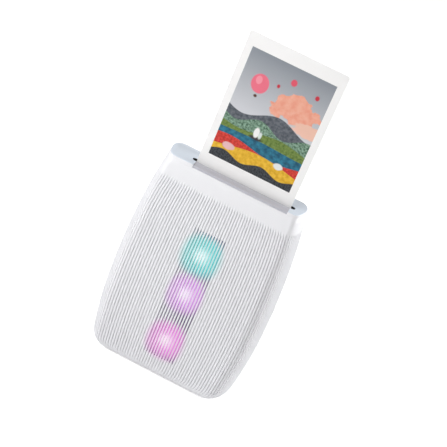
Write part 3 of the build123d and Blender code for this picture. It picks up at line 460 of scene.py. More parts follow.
def rounded_points(centre, width, height, radius, steps=8):
    """Points round a rectangle with rounded corners, or a slot where the radius is half its height."""
    points = []
    for quarter, (sx, sy) in enumerate(((1, 1), (-1, 1), (-1, -1), (1, -1))):
        middle = (centre[0] + sx * (width / 2 - radius), centre[1] + sy * (height / 2 - radius))
        for step in range(steps + 1):
            turn = pi / 2 * (quarter + step / steps)
            points.append((middle[0] + radius * cos(turn), middle[1] + radius * sin(turn)))
    return points


def box_points(low, high):
    """Corners of a rectangle."""
    return [(low[0], low[1]), (high[0], low[1]), (high[0], high[1]), (low[0], high[1])]


def combine(piece, other, operation):
    """Cuts, joins or intersects a piece with another, and removes the other."""
    step = piece.modifiers.new("combine", "BOOLEAN")
    step.operation = operation
    step.solver = "EXACT"
    step.object = other
    result = bpy.data.meshes.new_from_object(piece.evaluated_get(bpy.context.evaluated_depsgraph_get()))
    if not result.polygons:
        raise RuntimeError(f"{operation} left nothing of {piece.name}")
    piece.modifiers.clear()
    old = piece.data
    piece.data = result
    result.name = old.name
    bpy.data.meshes.remove(old)
    bpy.data.meshes.remove(other.data)


def cut(piece, outline, axis, low, high):
    """Cuts the prism of an outline out of a piece."""
    combine(piece, prism("cut", outline, axis, low, high), "DIFFERENCE")


def place(piece, body, slot, finish, nodes=()):
    """Seats a finished piece on its body with its finish; the slot argument is not used."""
    piece.data.materials.clear()
    piece.data.materials.append(finish)
    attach(piece, body)
    if nodes:
        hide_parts(*nodes)


# --- finishes ---


def feed(tree, node, inputs):
    """Sets or links the inputs of a node. A hex colour is made linear first."""
    for socket, value in inputs.items():
        if isinstance(value, bpy.types.NodeSocket):
            tree.links.new(value, node.inputs[socket])
        else:
            node.inputs[socket].default_value = linear(value) if isinstance(value, str) else value


def add_node(tree, kind, inputs=None, **settings):
    """Adds a shader node with its own settings and inputs."""
    node = tree.nodes.new("ShaderNode" + kind)
    for name, value in settings.items():
        setattr(node, name, value)
    feed(tree, node, inputs or {})
    return node


def calculate(tree, operation, first, second=0.0):
    """Result of one operation on one or two values."""
    return add_node(tree, "Math", {0: first, 1: second}, operation=operation).outputs[0]


def between(tree, share, low, high):
    """Value that runs from a low to a high one as a share runs from 0 to 1."""
    return add_node(tree, "MapRange", {"Value": share, "To Min": low, "To Max": high}).outputs[0]


def soft_change(tree, value, start, end, low=0.0, high=1.0):
    """Value that goes softly from a low to a high one while another goes from a start to an end."""
    limits = {"Value": value, "From Min": start, "From Max": end, "To Min": low, "To Max": high}
    return add_node(tree, "MapRange", limits, interpolation_type="SMOOTHSTEP").outputs[0]


def mixed(tree, share, colour, over):
    """Colour that gives way to another by a share."""
    return add_node(tree, "Mix", {"Factor": share, 6: colour, 7: over}, data_type="RGBA").outputs[2]


def start_finish(name, constants):
    """New material, its tree, its shader, and where on the surface it is shaded, in millimetres."""
    material = bpy.data.materials.new(name)
    material.use_nodes = True
    tree = material.node_tree
    shader = tree.nodes["Principled BSDF"]
    feed(tree, shader, constants)
    metres = add_node(tree, "TexCoord").outputs["Object"]
    where = add_node(tree, "VectorMath", {0: metres, "Scale": 1 / MM}, operation="SCALE").outputs[0]
    return material, tree, shader, where


def surface_grain(tree, shader, where, size, depth, detail=2.0):
    """Raises a fine moulded or blasted grain of a size and depth in millimetres."""
    noise = add_node(tree, "TexNoise", {"Vector": where, "Scale": 1 / size, "Detail": detail})
    relief = {"Height": noise.outputs["Fac"], "Distance": depth * MM, "Strength": 1.0}
    feed(tree, shader, {"Normal": add_node(tree, "Bump", relief).outputs["Normal"]})
    return noise.outputs["Fac"]


def tinted(tree, shader, where, colour, patch, change):
    """Colour that wanders a little lighter and darker over patches of a size in millimetres."""
    noise = add_node(tree, "TexNoise", {"Vector": where, "Scale": 1 / patch, "Detail": 3.0})
    amount = between(tree, noise.outputs["Fac"], 1 - change, 1 + change)
    rgb = (linear(colour) if isinstance(colour, str) else colour)[:3]
    tint = add_node(tree, "VectorMath", {0: rgb, "Scale": amount}, operation="SCALE").outputs[0]
    feed(tree, shader, {"Base Color": tint})
    return tint


def moulded_plastic(name, colour, roughness=0.45, grain=0.5, depth=0.006, change=0.015):
    """Injection-moulded ABS: fine spark-eroded grain, soft gloss, and colour as even as the pellets."""
    material, tree, shader, where = start_finish(name, {"IOR": ABS_IOR})
    tinted(tree, shader, where, colour, 18.0, change)
    # the real grain is about 0.05 mm; it is drawn coarser so that the render shows it
    noise = surface_grain(tree, shader, where, grain, depth)
    feed(tree, shader, {"Roughness": between(tree, noise, roughness - 0.05, roughness + 0.05)})
    return material


def worked_metal(name, colour, roughness, grain, stretch, depth=0.002):
    """Ground, drawn or plated metal: fine lines run one way, so its gloss is streaked."""
    material, tree, shader, where = start_finish(name, {"Metallic": 1.0})
    lines = add_node(tree, "VectorMath", {0: where, 1: stretch}, operation="MULTIPLY").outputs[0]
    tinted(tree, shader, lines, colour, grain * 4, 0.06)
    noise = surface_grain(tree, shader, lines, grain, depth)
    feed(tree, shader, {"Roughness": between(tree, noise, roughness - 0.06, roughness + 0.06)})
    return material


def glow_colours(tree, where, settings, softness, edge_pale, core_pale):
    """Mask and colour of each lamp's painted glow, a rounded square, paler by a share at its edge and in its
    middle.
    """
    split = add_node(tree, "SeparateXYZ", {0: where})
    glows = (settings.upper_glow, settings.middle_glow, settings.lower_glow)
    lit = []
    for (height, half_wide, half_high), glow in zip(GLOWS, glows):
        level = calculate(tree, "SUBTRACT", split.outputs["Z"], height)
        powers = []
        for offset, half_size in ((split.outputs["X"], half_wide), (level, half_high)):
            size = calculate(tree, "ABSOLUTE", calculate(tree, "DIVIDE", offset, half_size))
            powers.append(calculate(tree, "POWER", size, GLOW_SQUARENESS))
        reach = calculate(tree, "POWER", calculate(tree, "ADD", *powers), 1 / GLOW_SQUARENESS)
        mask = soft_change(tree, reach, 1 + softness, 1 - softness)
        paleness = soft_change(tree, reach, GLOW_CORE, GLOW_BODY, core_pale, edge_pale)
        lit.append((mask, mixed(tree, paleness, tuple(glow), (1, 1, 1, 1))))
    return lit


def layered(tree, colour, layers):
    """Lays colours over one another, each through its own mask."""
    for mask, over in layers:
        colour = mixed(tree, mask, colour, over)
    return colour


def lit_cover_plastic(name, settings):
    """White moulded ABS of the ribbed cover, with the glow of the lamps behind it painted into its base
    colour and emission.
    """
    constants = {"Emission Strength": 0.05, "Roughness": 0.42, "IOR": ABS_IOR}
    material, tree, shader, where = start_finish(name, constants)
    base = tinted(tree, shader, where, settings.housing, 18.0, 0.012)
    surface_grain(tree, shader, where, 0.5, 0.005)
    # painted light: the lamps' glow, tinting the base colour and lighting the emission
    lit = glow_colours(tree, where, settings, 0.26, 0.52, 0.88)
    glow = layered(tree, (0, 0, 0, 1), lit)
    feed(tree, shader, {"Base Color": layered(tree, base, lit), "Emission Color": glow})
    return material


def milky_diffuser(name, settings):
    """Milky polycarbonate strip in grey-violet, with the light of the lamps behind it painted into its colour
    and emission in three places, and a faint violet glow painted where no lamp stands.
    """
    constants = {"Emission Strength": 0.45, "Roughness": 0.5, "IOR": 1.58}
    material, tree, shader, where = start_finish(name, constants)
    surface_grain(tree, shader, where, 0.6, 0.004)
    lit = glow_colours(tree, where, settings, 0.34, 0.05, 0.55)
    # painted glow: faint violet where no lamp stands, the lamp colours in three places
    glow = layered(tree, "#4E3A62", lit)
    feed(tree, shader, {"Base Color": layered(tree, "#9A86AC", lit), "Emission Color": glow})
    return material


def lit_lamp(name, colour):
    """Clear epoxy dome over a lit diode: glossy and glowing."""
    constants = {"Emission Strength": 2.0, "Roughness": 0.15, "IOR": 1.5}
    material, tree, shader, where = start_finish(name, constants)
    base = tinted(tree, shader, where, colour, 2.0, 0.05)
    feed(tree, shader, {"Emission Color": base})
    return material


def plain_finish(name, constants, tint, grain):
    """Material, tree and shader of a finish with only a tint and a grain."""
    material, tree, shader, where = start_finish(name, constants)
    tinted(tree, shader, where, *tint)
    surface_grain(tree, shader, where, *grain)
    return material, tree, shader


def film_border(name):
    """Coated white polyester film: smooth, with a soft gloss and a trace of orange peel."""
    constants = {"Roughness": 0.32, "IOR": 1.5}
    return plain_finish(name, constants, ("#FAF9F8", 12.0, 0.006), (1.4, 0.003))[0]


def solder_mask(name):
    """Glass-epoxy board under green solder mask: copper tracks stand out as lighter lines."""
    material, tree, shader, where = start_finish(name, {"Roughness": 0.3, "IOR": 1.52})
    split = add_node(tree, "SeparateXYZ", {0: where})
    flat = add_node(tree, "CombineXYZ", {"X": split.outputs["X"], "Y": split.outputs["Z"]})
    layout = {
        "Vector": flat.outputs[0],
        "Color1": "#0E4A2C",
        "Color2": "#125433",
        "Mortar": "#2C7A4E",
        "Scale": 1.0,
        "Mortar Size": 0.12,
        "Brick Width": 3.2,
        "Row Height": 1.1,
    }
    tracks = add_node(tree, "TexBrick", layout)
    feed(tree, shader, {"Base Color": tracks.outputs["Color"]})
    surface_grain(tree, shader, where, 0.4, 0.004)
    return material


def black_felt(name):
    """Needled wool felt: deep black with loose fibres that catch a little light."""
    constants = {"Roughness": 0.95, "Sheen Weight": 0.3}
    return plain_finish(name, constants, ("#1A1A1C", 0.6, 0.4), (0.25, 0.08, 6.0))[0]


def lens_acrylic(name):
    """Polished acrylic lens strip: clear and glossy, with faint moulding lines across it."""
    constants = {"Base Color": "#E4EEF2", "Roughness": 0.08, "IOR": 1.49, "Transmission Weight": 0.8}
    material, tree, shader, where = start_finish(name, constants)
    lines = add_node(tree, "VectorMath", {0: where, 1: (4.0, 0.2, 0.2)}, operation="MULTIPLY").outputs[0]
    surface_grain(tree, shader, lines, 1.0, 0.01)
    return material


def printed_scene(name):
    """Dye image under clear film: a made-up valley of sky, hills, lake and fields, with a few balloons."""
    constants = {"Roughness": 0.3, "IOR": 1.5, "Specular IOR Level": 0.35}
    material, tree, shader, where = start_finish(name, constants)

    def value(operation, first, second=0.0):
        return calculate(tree, operation, first, second)

    split = add_node(tree, "SeparateXYZ", {0: where})
    across = value("SUBTRACT", split.outputs["X"], FILM_X)
    up = value("SUBTRACT", split.outputs["Z"], PICTURE_BOTTOM)
    flat = add_node(tree, "CombineXYZ", {"X": across, "Y": up}).outputs[0]

    def mottle(size, low, high):
        noise = add_node(tree, "TexNoise", {"Vector": flat, "Scale": 1 / size, "Detail": 4.0})
        limits = {"Value": noise.outputs["Fac"], "From Min": 0.35, "From Max": 0.65}
        return mixed(tree, add_node(tree, "MapRange", limits).outputs[0], low, high)

    def below(base, swing, length, shift):
        wave = value("SINE", value("ADD", value("DIVIDE", across, length), shift))
        ridge = value("ADD", value("MULTIPLY", wave, swing), base)
        return soft_change(tree, value("SUBTRACT", up, ridge), 0.25, -0.25)

    def disc(x, z, wide, high, rough=0.0):
        dx = value("DIVIDE", value("SUBTRACT", across, x), wide)
        dz = value("DIVIDE", value("SUBTRACT", up, z), high)
        reach = value("SQRT", value("ADD", value("MULTIPLY", dx, dx), value("MULTIPLY", dz, dz)))
        if rough:
            noise = add_node(tree, "TexNoise", {"Vector": flat, "Scale": 0.16, "Detail": 5.0})
            ragged = value("MULTIPLY", value("SUBTRACT", noise.outputs["Fac"], 0.5), rough)
            reach = value("ADD", reach, ragged)
        edge = 0.3 / min(wide, high)
        return soft_change(tree, value("SUBTRACT", reach, 1.0), edge, -edge)

    limits = {"Value": up, "From Min": 28.0, "From Max": PICTURE_HEIGHT}
    height = add_node(tree, "MapRange", limits).outputs[0]
    sky = mixed(tree, height, "#D2D3D8", "#8B9199")
    layers = [
        (disc(9.0, 41.0, 13.0, 7.5, 1.5), mottle(3.0, "#F4B49C", "#EF9E86")),
        (disc(19.0, 33.5, 8.0, 4.0, 1.5), "#F2C3AF"),
        (disc(-12.5, 46.0, 4.6, 5.2), "#EE7388"),
        (disc(-13.6, 47.6, 1.6, 2.2), "#F597A5"),
        (disc(-12.5, 39.2, 0.9, 0.8), "#5A3A30"),
        (disc(3.0, 54.0, 1.6, 1.8), "#E2576B"),
        (disc(16.5, 52.0, 1.1, 1.3), "#C7303F"),
        (disc(-3.5, 49.0, 0.8, 1.0), "#C7303F"),
        (below(31.0, 3.0, 6.0, 1.0), mottle(1.6, "#4A4F57", "#6B7078")),
        (below(26.0, 2.4, 4.2, 2.6), mottle(1.1, "#3F5F4A", "#8FB09A")),
        (below(21.5, 1.6, 7.0, 0.4), mottle(1.3, "#56702F", "#7C9348")),
        (below(17.5, 0.5, 9.0, 2.0), mottle(2.4, "#14506A", "#2B7C98")),
        (disc(-4.0, 18.6, 3.4, 0.9), "#3A3436"),
        (disc(-4.4, 21.6, 1.5, 2.8), "#F4F3F1"),
        (disc(-2.2, 20.9, 0.9, 1.9), "#DDE6E2"),
        (below(12.5, 1.8, 8.0, 3.6), mottle(1.2, "#B92A22", "#E2463B")),
        (below(9.0, 2.2, 10.0, 1.4), mottle(1.8, "#D9A31E", "#F2C33A")),
        (disc(-15.0, 8.5, 3.4, 2.0, 0.6), "#E8B9BC"),
        (disc(12.5, 10.0, 2.6, 1.8, 0.6), "#E9ECEA"),
        (below(4.2, 1.5, 3.4, 0.2), mottle(0.9, "#202226", "#454A50")),
    ]
    feed(tree, shader, {"Base Color": layered(tree, sky, layers)})
    surface_grain(tree, shader, where, 1.4, 0.002)
    return material


def wrapped_foil(name):
    """Battery pouch in heat-shrunk film: grey, glossy and slightly puckered."""
    constants = {"Roughness": 0.25, "Metallic": 0.4}
    return plain_finish(name, constants, ("#8A9099", 6.0, 0.05), (3.0, 0.12))[0]


def paper_floor(name, colour):
    """Matt white paper sweep: even, with a faint tooth."""
    constants = {"Roughness": 0.85, "Specular IOR Level": 0.1, "Emission Color": (1, 1, 1, 1)}
    material, tree, shader = plain_finish(name, constants, (colour, 60.0, 0.004), (0.8, 0.02))
    # the camera sees the paper lifted towards white, and its shadow stays
    seen = add_node(tree, "LightPath").outputs["Is Camera Ray"]
    feed(tree, shader, {"Emission Strength": calculate(tree, "MULTIPLY", seen, PAPER_LIFT)})
    return material


# --- pieces ---


class PRINTER_OT_front_cover(Operator):
    """Ribbed front cover with its window slots, in place of the coarser CAD node"""

    bl_idname = "photo_printer.front_cover"
    bl_label = "Ribbed Front Cover"

    def execute(self, context):
        settings = context.scene.photo_printer
        # a groove at 0 and the crest of a rib at 0.5; a window slot is cut from 0.78 to 0.22
        offsets = (0.0, 0.11, 0.22, 0.5, 0.78, 0.89)
        slot_reach = 2
        profile = (1.0, 0.62, 0.06, 0.0, 0.06, 0.62)
        steps = [(rib, offset) for rib in range(settings.rib_count) for offset in offsets]
        shares = [(rib + offset) / settings.rib_count for rib, offset in steps] + [1.0]
        cuts = list(profile) * settings.rib_count + [1.0]
        depth = settings.rib_depth / MM

        fade_step = (RIB_TOP - RIB_FADE_START) / FADE_STEPS
        fade = [RIB_FADE_START + fade_step * step for step in range(FADE_STEPS + 1)]
        upper = fade + [*COLLAR_ROWS, COVER_TOP - SHUT_LINE, COVER_TOP]
        levels = foot_levels() + body_levels((WINDOW_BOTTOM, WINDOW_TOP)) + [(z, z) for z in upper]
        outer = []
        inner = []
        for high, low in levels:
            inset = SHUT_LINE if high == COVER_TOP else 0.0
            edge = spread_along(half_outline(front_y, high, inset, EDGE_SAMPLES), shares)
            rib = depth * rib_strength(high)
            row = zip(edge, cuts)
            outer.append([(x - ty * rib * cut, y + tx * rib * cut, high) for (x, y, tx, ty), cut in row])
            edge = spread_along(half_outline(front_y, low, WALL, EDGE_SAMPLES), shares)
            inner.append([(x, y, low) for x, y, tx, ty in edge])
        for row in outer:
            for end in (0, -1):
                row[end] = (row[end][0], 0.0, row[end][2])

        heights = [high for high, low in levels]
        bottom = heights.index(WINDOW_BOTTOM)
        top = heights.index(WINDOW_TOP)
        first = (settings.rib_count + 1 - settings.window_slots) // 2
        slot_columns = set()
        for slot in range(settings.window_slots):
            middle = (first + slot) * len(offsets)
            slot_columns.update(range(middle - slot_reach, middle + slot_reach))

        def in_slot(row, column):
            return bottom <= row < top and column in slot_columns

        cover = half_shell("ribbed_front_cover", outer, inner, in_slot, RIB_SHARP_ANGLE)
        length, width = SOCKET_SIZE
        outline = rounded_points((SOCKET_Y, SOCKET_Z), width, length, width / 2)
        cut(cover, outline, "X", -PAST_SIDE, SOCKET_HOLE_END)
        shade(cover, RIB_SHARP_ANGLE)
        place(cover, "case", "cover_white", lit_cover_plastic("lit_moulded_abs", settings), ["front_cover"])
        return {"FINISHED"}


class PRINTER_OT_cover_fittings(Operator):
    """Lamp rails, screw bosses and board posts moulded inside the front cover"""

    bl_idname = "photo_printer.cover_fittings"
    bl_label = "Cover Fittings"

    def execute(self, context):
        settings = context.scene.photo_printer
        plastic = moulded_plastic("inner_moulded_abs", settings.housing, 0.5)
        root = -BODY_DEPTH / 2 + WALL / 2
        for side in (-1, 1):
            middle = side * RAIL_X
            outline = box_points((middle - RAIL_WALL / 2, root), (middle + RAIL_WALL / 2, RAIL_BACK))
            rail = prism(f"lamp_rail_{side + 2}", outline, "Z", *RAIL_ENDS)
            place(rail, "case", "cover_white", plastic)
        kinds = (
            ("screw_boss", SCREW_PLACES, BOSS_BACK - BOSS_LENGTH, BOSS_BACK),
            ("board_post", BOARD_POSTS, root, BOARD_Y),
        )
        for kind, centres, front, back in kinds:
            for number, centre in enumerate(centres):
                outline = circle_points(centre, BOSS_DIAMETER / 2)
                fitting = prism(f"{kind}_{number}", outline, "Y", front, back)
                if kind == "screw_boss":
                    bore = circle_points(centre, SCREW_HOLE / 2)
                    cut(fitting, bore, "Y", front + SCREW_FLOOR, back + OVERSHOOT)
                combine(fitting, wall_middle("root"), "INTERSECT")
                shade(fitting)
                place(fitting, "case", "cover_white", plastic)
        return {"FINISHED"}


def wall_middle(name):
    """Solid with its skin in the middle of the housing's wall, where the fittings are rooted."""
    inset = WALL / 2
    work = bmesh.new()
    heights = foot_heights(inset) + [level[0] for level in body_levels()] + [RIB_FADE_START]
    join_rings(work, [ring_at(work, height, inset) for height in heights])
    return finish_mesh(work, name)


def rear_shell(name):
    """Smooth back half of the housing, before the door is cut out of it."""
    shoulder = BODY_HEIGHT - REAR_TOP_RADIUS
    last = asin((COVER_TOP - shoulder) / REAR_TOP_RADIUS)
    turns = [last * step / SHOULDER_STEPS for step in range(SHOULDER_STEPS)]
    bends = [shoulder + REAR_TOP_RADIUS * sin(turn) for turn in turns]
    upper = [RIB_FADE_START, REAR_COLLAR_ROW, *bends, COVER_TOP - SHUT_LINE, COVER_TOP]
    levels = foot_levels() + body_levels() + [(z, z) for z in upper]
    outer = []
    inner = []
    for high, low in levels:
        inset = SHUT_LINE if high == COVER_TOP else 0.0
        outer.append([(x, y, high) for x, y in half_outline(rear_y, high, inset)])
        inner.append([(x, y, low) for x, y in half_outline(rear_y, low, WALL)])
    return half_shell(name, outer, inner, lambda row, column: False, SHARP_ANGLE)


def door_block(name, gap):
    """Block that the door or its opening fills, with round top corners and a narrower foot."""
    half = DOOR_HALF_WIDTH - gap
    top = DOOR_TOP - gap
    shoulder = HINGE_SHOULDER + gap - DOOR_GAP
    foot = HINGE_HALF_LENGTH - gap
    middle = (0, (top + HINGE_HEIGHT) / 2)
    outline = rounded_points(middle, 2 * half, top - HINGE_HEIGHT, BASE_RADIUS / 2)
    # the lower corners are square: only the upper two are rounded
    outline = [point for point in outline if point[1] > HINGE_HEIGHT + BASE_RADIUS / 2]
    outline += [(-half, HINGE_HEIGHT), (half, HINGE_HEIGHT)]
    block = prism(name, outline, "Y", DOOR_FRONT, PAST_BACK)
    outline = circle_points((HINGE_Y, HINGE_HEIGHT), shoulder)
    cut(block, outline, "X", -PAST_SIDE, PAST_SIDE)
    outline = box_points((-foot, HINGE_HEIGHT), (foot, HINGE_HEIGHT + shoulder))
    combine(block, prism("foot", outline, "Y", HINGE_Y, PAST_BACK), "UNION")
    return block


class PRINTER_OT_rear_cover(Operator):
    """Smooth rear cover with the door opening, hinge trough, jambs and button hole"""

    bl_idname = "photo_printer.rear_cover"
    bl_label = "Rear Cover"

    def execute(self, context):
        settings = context.scene.photo_printer
        cover = rear_shell("smooth_rear_cover")
        axis = (HINGE_Y, HINGE_HEIGHT)
        half = HINGE_HALF_LENGTH
        for side in (-1, 1):
            ends = sorted((side * half, side * (half + HINGE_JAMB)))
            jamb = prism("jamb", circle_points(axis, HINGE_RADIUS - JAMB_GAP), "X", *ends)
            combine(cover, jamb, "UNION")
        combine(cover, door_block("opening", 0.0), "DIFFERENCE")
        trough = HINGE_RADIUS + DOOR_GAP
        cut(cover, circle_points(axis, trough), "X", -half, half)
        outline = box_points((-half, HINGE_HEIGHT - trough), (half, HINGE_HEIGHT + TROUGH_RISE))
        cut(cover, outline, "Y", HINGE_Y, PAST_BACK)
        reach = half + HINGE_JAMB
        cut(cover, circle_points(axis, PIN_DIAMETER / 2 + PIN_HELD_GAP), "X", -reach, reach)
        length, width = BUTTON_SIZE
        outline = rounded_points((BUTTON_Y, BUTTON_Z), width, length, width / 2)
        cut(cover, outline, "X", BUTTON_HOLE_START, PAST_SIDE)
        shade(cover)
        plastic = moulded_plastic("rear_moulded_abs", settings.housing)
        place(cover, "case", "rear_white", plastic, ["rear_cover"])
        return {"FINISHED"}


class PRINTER_OT_film_door(Operator):
    """Film door cut from the same back surface, with its hinge barrel, posts, ribs and lock slot"""

    bl_idname = "photo_printer.film_door"
    bl_label = "Film Door"

    def execute(self, context):
        settings = context.scene.photo_printer
        door = rear_shell("smooth_film_door")
        combine(door, door_block("panel", DOOR_GAP), "INTERSECT")
        axis = (HINGE_Y, HINGE_HEIGHT)
        half = HINGE_HALF_LENGTH - DOOR_GAP
        combine(door, prism("barrel", circle_points(axis, HINGE_RADIUS), "X", -half, half), "UNION")
        inner = BODY_DEPTH / 2 - WALL + ROOT_DEPTH
        for side in (-1, 1):
            middle = (FILM_X + side * POST_SPREAD, POST_Z)
            sizes = (POST_WIDTH, POST_LENGTH)
            outline = rounded_points(middle, *sizes, POST_ROUND, POST_STEPS)
            post = prism("post", outline, "Y", POST_FRONT, inner)
            hollow = [size - 2 * POST_WALL for size in sizes]
            outline = rounded_points(middle, *hollow, POST_ROUND / 2, POST_STEPS)
            cut(post, outline, "Y", POST_FRONT - OVERSHOOT, inner - POST_FLOOR)
            combine(door, post, "UNION")
        for height in DOOR_RIB_PLACES:
            deep, thick = DOOR_RIB_SIZE
            outline = box_points((-half, height - thick / 2), (half, height + thick / 2))
            combine(door, prism("rib", outline, "Y", inner - deep, inner), "UNION")
        outline = circle_points(axis, PIN_DIAMETER / 2 + PIN_TURN_GAP)
        cut(door, outline, "X", -half - OVERSHOOT, half + OVERSHOOT)
        wide, high = LOCK_KNOB
        outline = box_points(
            (-wide / 2 - LOCK_MARGIN, LOCK_Z - high / 2 - LOCK_MARGIN),
            (wide / 2 + LOCK_MARGIN, LOCK_Z + high / 2 + LOCK_TRAVEL + LOCK_MARGIN),
        )
        cut(door, outline, "Y", LOCK_SLOT_FRONT, PAST_BACK)
        shade(door)
        plastic = moulded_plastic("door_moulded_abs", settings.housing)
        place(door, "door", "door_white", plastic, ["film_door"])
        return {"FINISHED"}


class PRINTER_OT_top_cap(Operator):
    """Lid with softly rounded edges, the film slot and the seat of the lip"""

    bl_idname = "photo_printer.top_cap"
    bl_label = "Top Cap"

    def execute(self, context):
        settings = context.scene.photo_printer
        shoulder = BODY_HEIGHT - REAR_TOP_RADIUS
        start = asin((COVER_TOP - shoulder) / REAR_TOP_RADIUS)
        levels = [(COVER_TOP, SHUT_LINE), (COVER_TOP + SHUT_LINE, 0.0)]
        for step in range(1, CAP_STEPS):
            turn = start + (CAP_TURN - start) * step / CAP_STEPS
            levels.append((shoulder + REAR_TOP_RADIUS * sin(turn), 0.0))
        for turn in quarter_turn(EDGE_STEPS):
            levels.append((BODY_HEIGHT - EDGE_ROUND * (1 - sin(turn)), EDGE_ROUND * (1 - cos(turn))))
        work = bmesh.new()
        join_rings(work, [ring_at(work, height, inset) for height, inset in levels])
        cap = finish_mesh(work, "soft_edged_cap")
        slot = rounded_points((FILM_X, FILM_Y), SLOT_WIDTH, SLOT_DEPTH, SLOT_DEPTH / 2, SLOT_END_STEPS)
        seat = box_points((LIP_ENDS[0], -BODY_DEPTH), (LIP_ENDS[1], FILM_Y))
        for outline in (slot, seat):
            cut(cap, outline, "Z", COVER_TOP - OVERSHOOT, BODY_HEIGHT + OVERSHOOT)
        shade(cap)
        place(cap, "case", "cap_blue_grey", moulded_plastic("cap_satin_abs", settings.cap, 0.38), ["top_cap"])
        # the top is tinted; the rim is painted white, a painted lighter band for the light that falls on the
        # cap's side; the slot is painted black inside, a painted shade for its deep shadow
        cap.data.materials.append(moulded_plastic("rim_moulded_abs", settings.housing, 0.42))
        cap.data.materials.append(moulded_plastic("slot_matt_black_abs", "#08080A", 0.7))
        reach_x = SLOT_WIDTH / 2 + FACE_MARGIN
        reach_y = SLOT_DEPTH / 2 + FACE_MARGIN
        for face in cap.data.polygons:
            middle = face.center / MM
            in_slot = abs(middle.x - FILM_X) < reach_x and abs(middle.y - FILM_Y) < reach_y
            # sides of the slot get the painted black shade, the side band the painted white of the light on
            # it
            if in_slot and middle.z < BODY_HEIGHT - TOP_MARGIN:
                face.material_index = 2
            elif middle.z < BODY_HEIGHT - EDGE_ROUND:
                face.material_index = 1
        return {"FINISHED"}


class PRINTER_OT_slot_lip(Operator):
    """Grey lip with softly rounded edges between the slot and the front of the lid"""

    bl_idname = "photo_printer.slot_lip"
    bl_label = "Slot Lip"

    def execute(self, context):
        settings = context.scene.photo_printer
        front = front_y(BODY_HEIGHT) + LIP_FRONT
        rear = FILM_Y - SLOT_DEPTH / 2
        top = BODY_HEIGHT - LIP_DROP
        outline = [(rear, COVER_TOP), (rear, top)]
        for turn in quarter_turn(LIP_STEPS):
            drop = LIP_FALL + LIP_ROUND * (1 - cos(turn))
            outline.append((front + LIP_ROUND * (1 - sin(turn)), top - drop))
        outline.append((front, COVER_TOP))
        lip = prism("round_edged_lip", outline, "X", *LIP_ENDS)
        place(lip, "case", "lip_grey", moulded_plastic("lip_satin_abs", settings.lip, 0.4), ["slot_lip"])
        return {"FINISHED"}


class PRINTER_OT_finishes(Operator):
    """Finish of every CAD node that stays in view"""

    bl_idname = "photo_printer.finishes"
    bl_label = "Finishes"

    def execute(self, context):
        settings = context.scene.photo_printer
        along_x = (0.15, 1.0, 1.0)
        along_z = (1.0, 1.0, 0.15)
        acetal = moulded_plastic("moulded_acetal", "#E8E6DA", 0.35)
        dark = moulded_plastic("glass_filled_abs", "#2A2A2D", 0.6, 0.4, 0.012, 0.08)
        board = solder_mask("solder_masked_board")
        epoxy = moulded_plastic("moulded_epoxy", "#232326", 0.5, 0.3, 0.01)
        drawn = worked_metal("drawn_spring_steel", "#B8BAC0", 0.3, 0.3, along_z)
        screw = worked_metal("zinc_plated_steel", "#B4B7BD", 0.32, 0.4, (1, 1, 1))
        finishes = {
            # dark grey: the button's own colour, darkened as painted shade for the gap round it
            "power_button": moulded_plastic("button_satin_abs", settings.button, 0.45),
            "door_lock": moulded_plastic("lock_matt_acetal", "#B4B8BF", 0.5),
            "print_sheet": film_border("coated_film_base"),
            "print_picture": printed_scene("printed_dye_image"),
            "film_pack": moulded_plastic("matt_polystyrene", "#1D1D20", 0.65, 0.4, 0.012, 0.08),
            "film_stack": moulded_plastic("black_film_back", "#202023", 0.4, 1.0, 0.004, 0.05),
            "pack_spring": drawn,
            "pick_claw": drawn,
            "hinge_pin": worked_metal("ground_steel", "#B0B3B8", 0.28, 0.2, along_x),
            "chassis_screws": screw,
            "front_roller": worked_metal("polished_steel", "#C4C7CC", 0.16, 0.3, along_x),
            "rear_roller": worked_metal("turned_steel", "#C4C7CC", 0.18, 0.3, along_x),
            "front_roller_gear": acetal,
            "rear_roller_gear": acetal,
            "idler_gear": acetal,
            "reduction_gear": acetal,
            "motor_pinion": worked_metal("cut_brass", "#C9A552", 0.28, 0.2, along_x),
            "drive_motor": worked_metal("nickel_plated_can", "#B9BCC0", 0.22, 0.5, along_x),
            "roller_bracket": worked_metal("zinc_plated_sheet", "#A5A9AF", 0.4, 1.5, (1, 1, 1)),
            "chassis": dark,
            "claw_guides": dark,
            "exposure_head": moulded_plastic("head_matt_abs", "#202022", 0.55),
            "head_lens": lens_acrylic("polished_acrylic"),
            "film_guide": moulded_plastic("guide_matt_abs", "#1A1A1C", 0.6),
            "light_seals": black_felt("needled_felt"),
            "lamp_board": board,
            "main_board": board,
            "switch_board": board,
            "board_chips": epoxy,
            "power_switch": epoxy,
            "charge_socket": worked_metal("plated_socket_shell", "#C0C3C8", 0.25, 0.4, along_x),
            "battery": wrapped_foil("heat_shrunk_film"),
            "light_diffuser": milky_diffuser("milky_polycarbonate", settings),
            "upper_lamp": lit_lamp("lit_epoxy_teal", settings.upper_glow),
            "middle_lamp": lit_lamp("lit_epoxy_violet", settings.middle_glow),
            "lower_lamp": lit_lamp("lit_epoxy_pink", settings.lower_glow),
        }
        replaced = {"front_cover", "rear_cover", "film_door", "top_cap", "slot_lip"}
        missing = set(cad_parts) - set(finishes) - replaced
        if missing:
            raise RuntimeError(f"these nodes have no finish: {sorted(missing)}")
        for node, finish in finishes.items():
            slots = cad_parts[node].material_slots
            if not slots:
                raise RuntimeError(f"{node} has no material slot")
            for slot in slots:
                slot.link = "OBJECT"
                slot.material = finish
        return {"FINISHED"}


